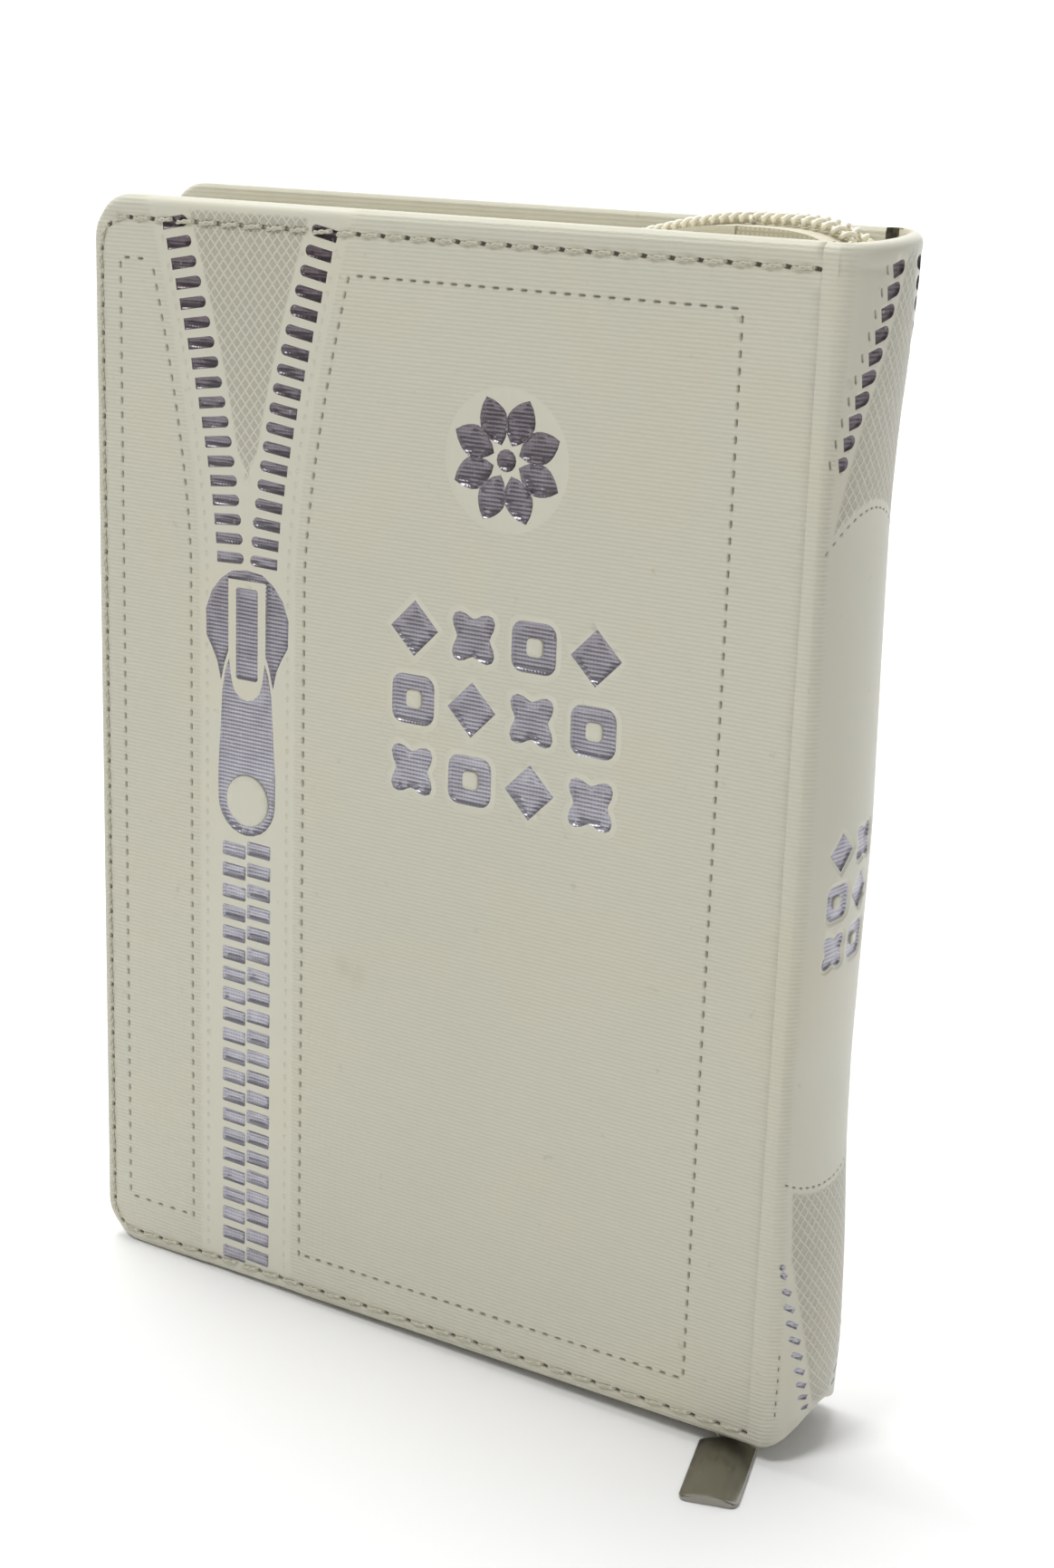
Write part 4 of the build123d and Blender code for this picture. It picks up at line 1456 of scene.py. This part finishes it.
def paper_hollow():
    """The paper tube between the mull and the spine, following the spine's waist."""
    low, high = box_mm("spine_hollow")
    half = (high.y - low.y) / 2
    wall = 0.3
    points, rows = [], []
    share = np.sqrt(1 - (half / (half_thickness - spine_wall)) ** 2)
    for inset in (0.0, wall):
        for z in np.linspace(low.z, high.z, 40):
            end = x_fold + (bulge_at(z) - spine_wall) * share - inset
            start, side = low.x + inset, half - inset
            row = [(start, -side), (end, -side), (end, side), (start, side)]
            rows.append(list(range(len(points), len(points) + 4)))
            points += [(x, y_mid + y, z) for x, y in row]
    outer, inner = rows[:40], rows[40:]
    faces = loops_to_faces(outer, True) + loops_to_faces(inner[::-1], True)
    faces += loops_to_faces([inner[0], outer[0]], True) + loops_to_faces([outer[-1], inner[-1]], True)
    made = new_mesh("spine_hollow_paper", points, faces, [board_look], flat_shaded=True)
    fix_directions(made)
    return attach(made, "spine", "board", "spine_hollow")


hump_walls()
spine_cap("spine_head_cap", 171.4, 171.4)
spine_cap("spine_tail_cap", 7.9, 7.0)
paper_hollow()

# ------------------------------------------------------------------ pull tab
pull_width, pull_crown = 8.8, 1.05
pull_yaw = radians(18)
pull_forward = np.array((sin(pull_yaw), -cos(pull_yaw), 0))
pull_side = np.array((cos(pull_yaw), sin(pull_yaw), 0))


def pull_blade(start, tip, middle):
    """Points and faces of the crowned tab, rounded at its tip's corners."""
    blade, round_length, ring = start + 2.4, 1.6, 28
    straight = np.linspace(blade, tip - round_length, 26)
    rounded = tip - round_length + round_length * np.sin(np.linspace(0.15, pi / 2, 8))
    points, rows = [], []
    for at in np.concatenate([straight, rounded]):
        back = max(0.0, at - (tip - round_length)) / round_length
        half = pull_width / 2 - 1.1 * (1 - np.sqrt(max(0.0, 1 - back**2)))
        thin = 1.0 - 0.16 * smooth((back - 0.75) / 0.25)
        row = []
        for k in range(ring):
            c, s = cos(tau * k / ring), sin(tau * k / ring)
            across = half * np.sign(c) * abs(c) ** 0.35
            dome = pull_crown * (1 - (across / (pull_width / 2)) ** 2)
            top = (pull_thickness - pull_crown) + dome
            level = (0.5 + 0.5 * np.sign(s) * abs(s) ** 0.35) * top * thin + (1 - thin) * top / 2
            row.append(len(points))
            points.append(pull_forward * at + pull_side * (middle + across) + np.array([0, 0, level]))
        rows.append(row)
    return points, loops_to_faces(rows, closed=True) + [tuple(reversed(rows[0])), tuple(rows[-1])]


def pull_neck(start, middle):
    """Points and faces of the strip that rolls round the link."""
    knuckle, roll_radius, roll_height, half_width = start + 0.8, 0.62, 0.8, 1.0
    centre_line = [(knuckle + 2.2, 0.55), (knuckle + 1.0, 0.42)]
    for degrees in range(-60, -341, -20):
        turn = radians(degrees)
        centre_line.append((knuckle + roll_radius * cos(turn), roll_height + roll_radius * sin(turn)))
    centre_line = np.array(centre_line)
    ahead = np.gradient(centre_line, axis=0)
    ahead /= np.linalg.norm(ahead, axis=1)[:, None]
    normal = np.stack([-ahead[:, 1], ahead[:, 0]], 1)
    points, rows = [], []
    for offset, side in ((0.16, 1), (0.16, -1), (-0.16, -1), (-0.16, 1)):
        line = centre_line + normal * offset
        rows.append(list(range(len(points), len(points) + len(line))))
        across = pull_side * (middle + side * half_width)
        points += [pull_forward * a + across + np.array([0, 0, b]) for a, b in line]
    ends = [tuple(r[0] for r in rows), tuple(r[-1] for r in reversed(rows))]
    return points, loops_to_faces(rows + [rows[0]]) + ends


def pull_tab():
    """The nickel tab and its neck, at the length and place of the CAD tab."""
    places = np.array([v.co for v in nodes["pull_tab"].data.vertices]) / MM
    reach, across = places @ pull_forward, places @ pull_side
    start, tip = reach.min(), reach.max()
    middle = across.min() / 2 + across.max() / 2
    parts = [pull_blade(start, tip, middle), pull_neck(start, middle)]
    made = gather("pull_tab_crowned", parts, shaded_metal_look)
    fix_directions(made)
    made.data.set_sharp_from_angle(angle=radians(42))
    attach(made, "pull_tab", "zipper_metal", "pull_tab")


pull_tab()

# ================================================================== CAD pieces that stay
kept_looks = (
    (foam_look, "front_cover_padding", "back_cover_padding"),
    (board_look, "front_cover_board", "back_cover_board"),
    (lining_look, "front_cover_lining", "back_cover_lining"),
    (tape_look, "front_zipper_tape", "back_zipper_tape", "lower_end_tape", "upper_end_tape"),
    (coil_look, "lower_stop", "upper_stop"),
    (glue_look, "spine_glue"),
    (cloth_look, "mull"),
    (thread_look, "head_band", "tail_band"),
    (paper_look, "front_flyleaf", "back_flyleaf", *(f"signature_{k}" for k in range(1, 10))),
    (metal_look, "slider_body", "slider_bail", "slider_lock_spring", "pull_link"),
)
for look, *node_names in kept_looks:
    for node_name in node_names:
        nodes[node_name].data.materials.clear()
        nodes[node_name].data.materials.append(look)

# ================================================================== floor, light and camera
floor_shader = Shader("pale_floor")
floor_tone = floor_shader.colour(floor_shader.noise(60.0), (0.86, 0.86, 0.86), (0.88, 0.88, 0.88))
floor_shader.set(Base_Color=floor_tone, Roughness=0.8)


def studio_sweep():
    """A floor that curves up into a backdrop."""
    bend, far, high = 500.0, 1500.0, 2600.0
    profile = [(-2500.0, 0.0), (far - bend, 0.0)]
    for step in range(1, 17):
        angle = radians(90 * step / 16)
        profile.append((far - bend + bend * sin(angle), bend - bend * cos(angle)))
    profile.append((far, high))
    points = [(x, y, z) for x in (-3200.0, 3200.0) for y, z in profile]
    count = len(profile)
    faces = [(k, k + count, k + count + 1, k + 1) for k in range(count - 1)]
    sweep = new_mesh("floor", points, faces, [floor_shader.material])


studio_sweep()
world = bpy.data.worlds.new("studio")
world.use_nodes = True
world.node_tree.nodes["Background"].inputs["Color"].default_value = (1.0, 1.0, 1.0, 1)
world.node_tree.nodes["Background"].inputs["Strength"].default_value = 0.21
bpy.context.scene.world = world
bpy.context.scene.view_settings.view_transform = "Standard"


def area_light(name, place_mm, size_mm, watts, target_mm=(0, 12, 90)):
    """A soft square light that faces the book."""
    light = bpy.data.lights.new(name, "AREA")
    light.size = size_mm * MM
    light.energy = watts
    made = bpy.data.objects.new(name, light)
    made.location = Vector(place_mm) * MM
    way = Vector(target_mm) * MM - made.location
    made.rotation_euler = way.to_track_quat("-Z", "Y").to_euler()
    bpy.context.scene.collection.objects.link(made)


area_light("key", (-250, -650, 1150), 320, 7.0)
area_light("fill", (700, -700, 500), 700, 1.9)
area_light("backdrop", (-600, 400, 1800), 1400, 46.0, (-600, 1500, 700))

# The camera stands before the fold, looking slightly down at the front cover.
camera_place = Vector((x_fore + 268.92, y_front - 291.47, 194.51)) * MM
camera_yaw, camera_pitch, camera_roll = radians(-32.476), radians(15.89), radians(1.966)
sensor_width, focal_length = 36.0, 56.631
ahead = Vector(
    (sin(camera_yaw) * cos(camera_pitch), cos(camera_yaw) * cos(camera_pitch), -sin(camera_pitch))
)
right = Vector((cos(camera_yaw), -sin(camera_yaw), 0))
upward = right.cross(ahead)
rolled_right = right * cos(camera_roll) + upward * sin(camera_roll)
rolled_up = upward * cos(camera_roll) - right * sin(camera_roll)
lens = bpy.data.cameras.new("camera")
lens.sensor_width, lens.lens = sensor_width, focal_length
lens.clip_start, lens.clip_end = 0.01, 20.0
camera = bpy.data.objects.new("camera", lens)
basis = Matrix((rolled_right, rolled_up, -ahead)).transposed()
camera.matrix_world = Matrix.Translation(camera_place) @ basis.to_4x4()
bpy.context.scene.collection.objects.link(camera)
bpy.context.scene.camera = camera

bpy.context.view_layer.update()
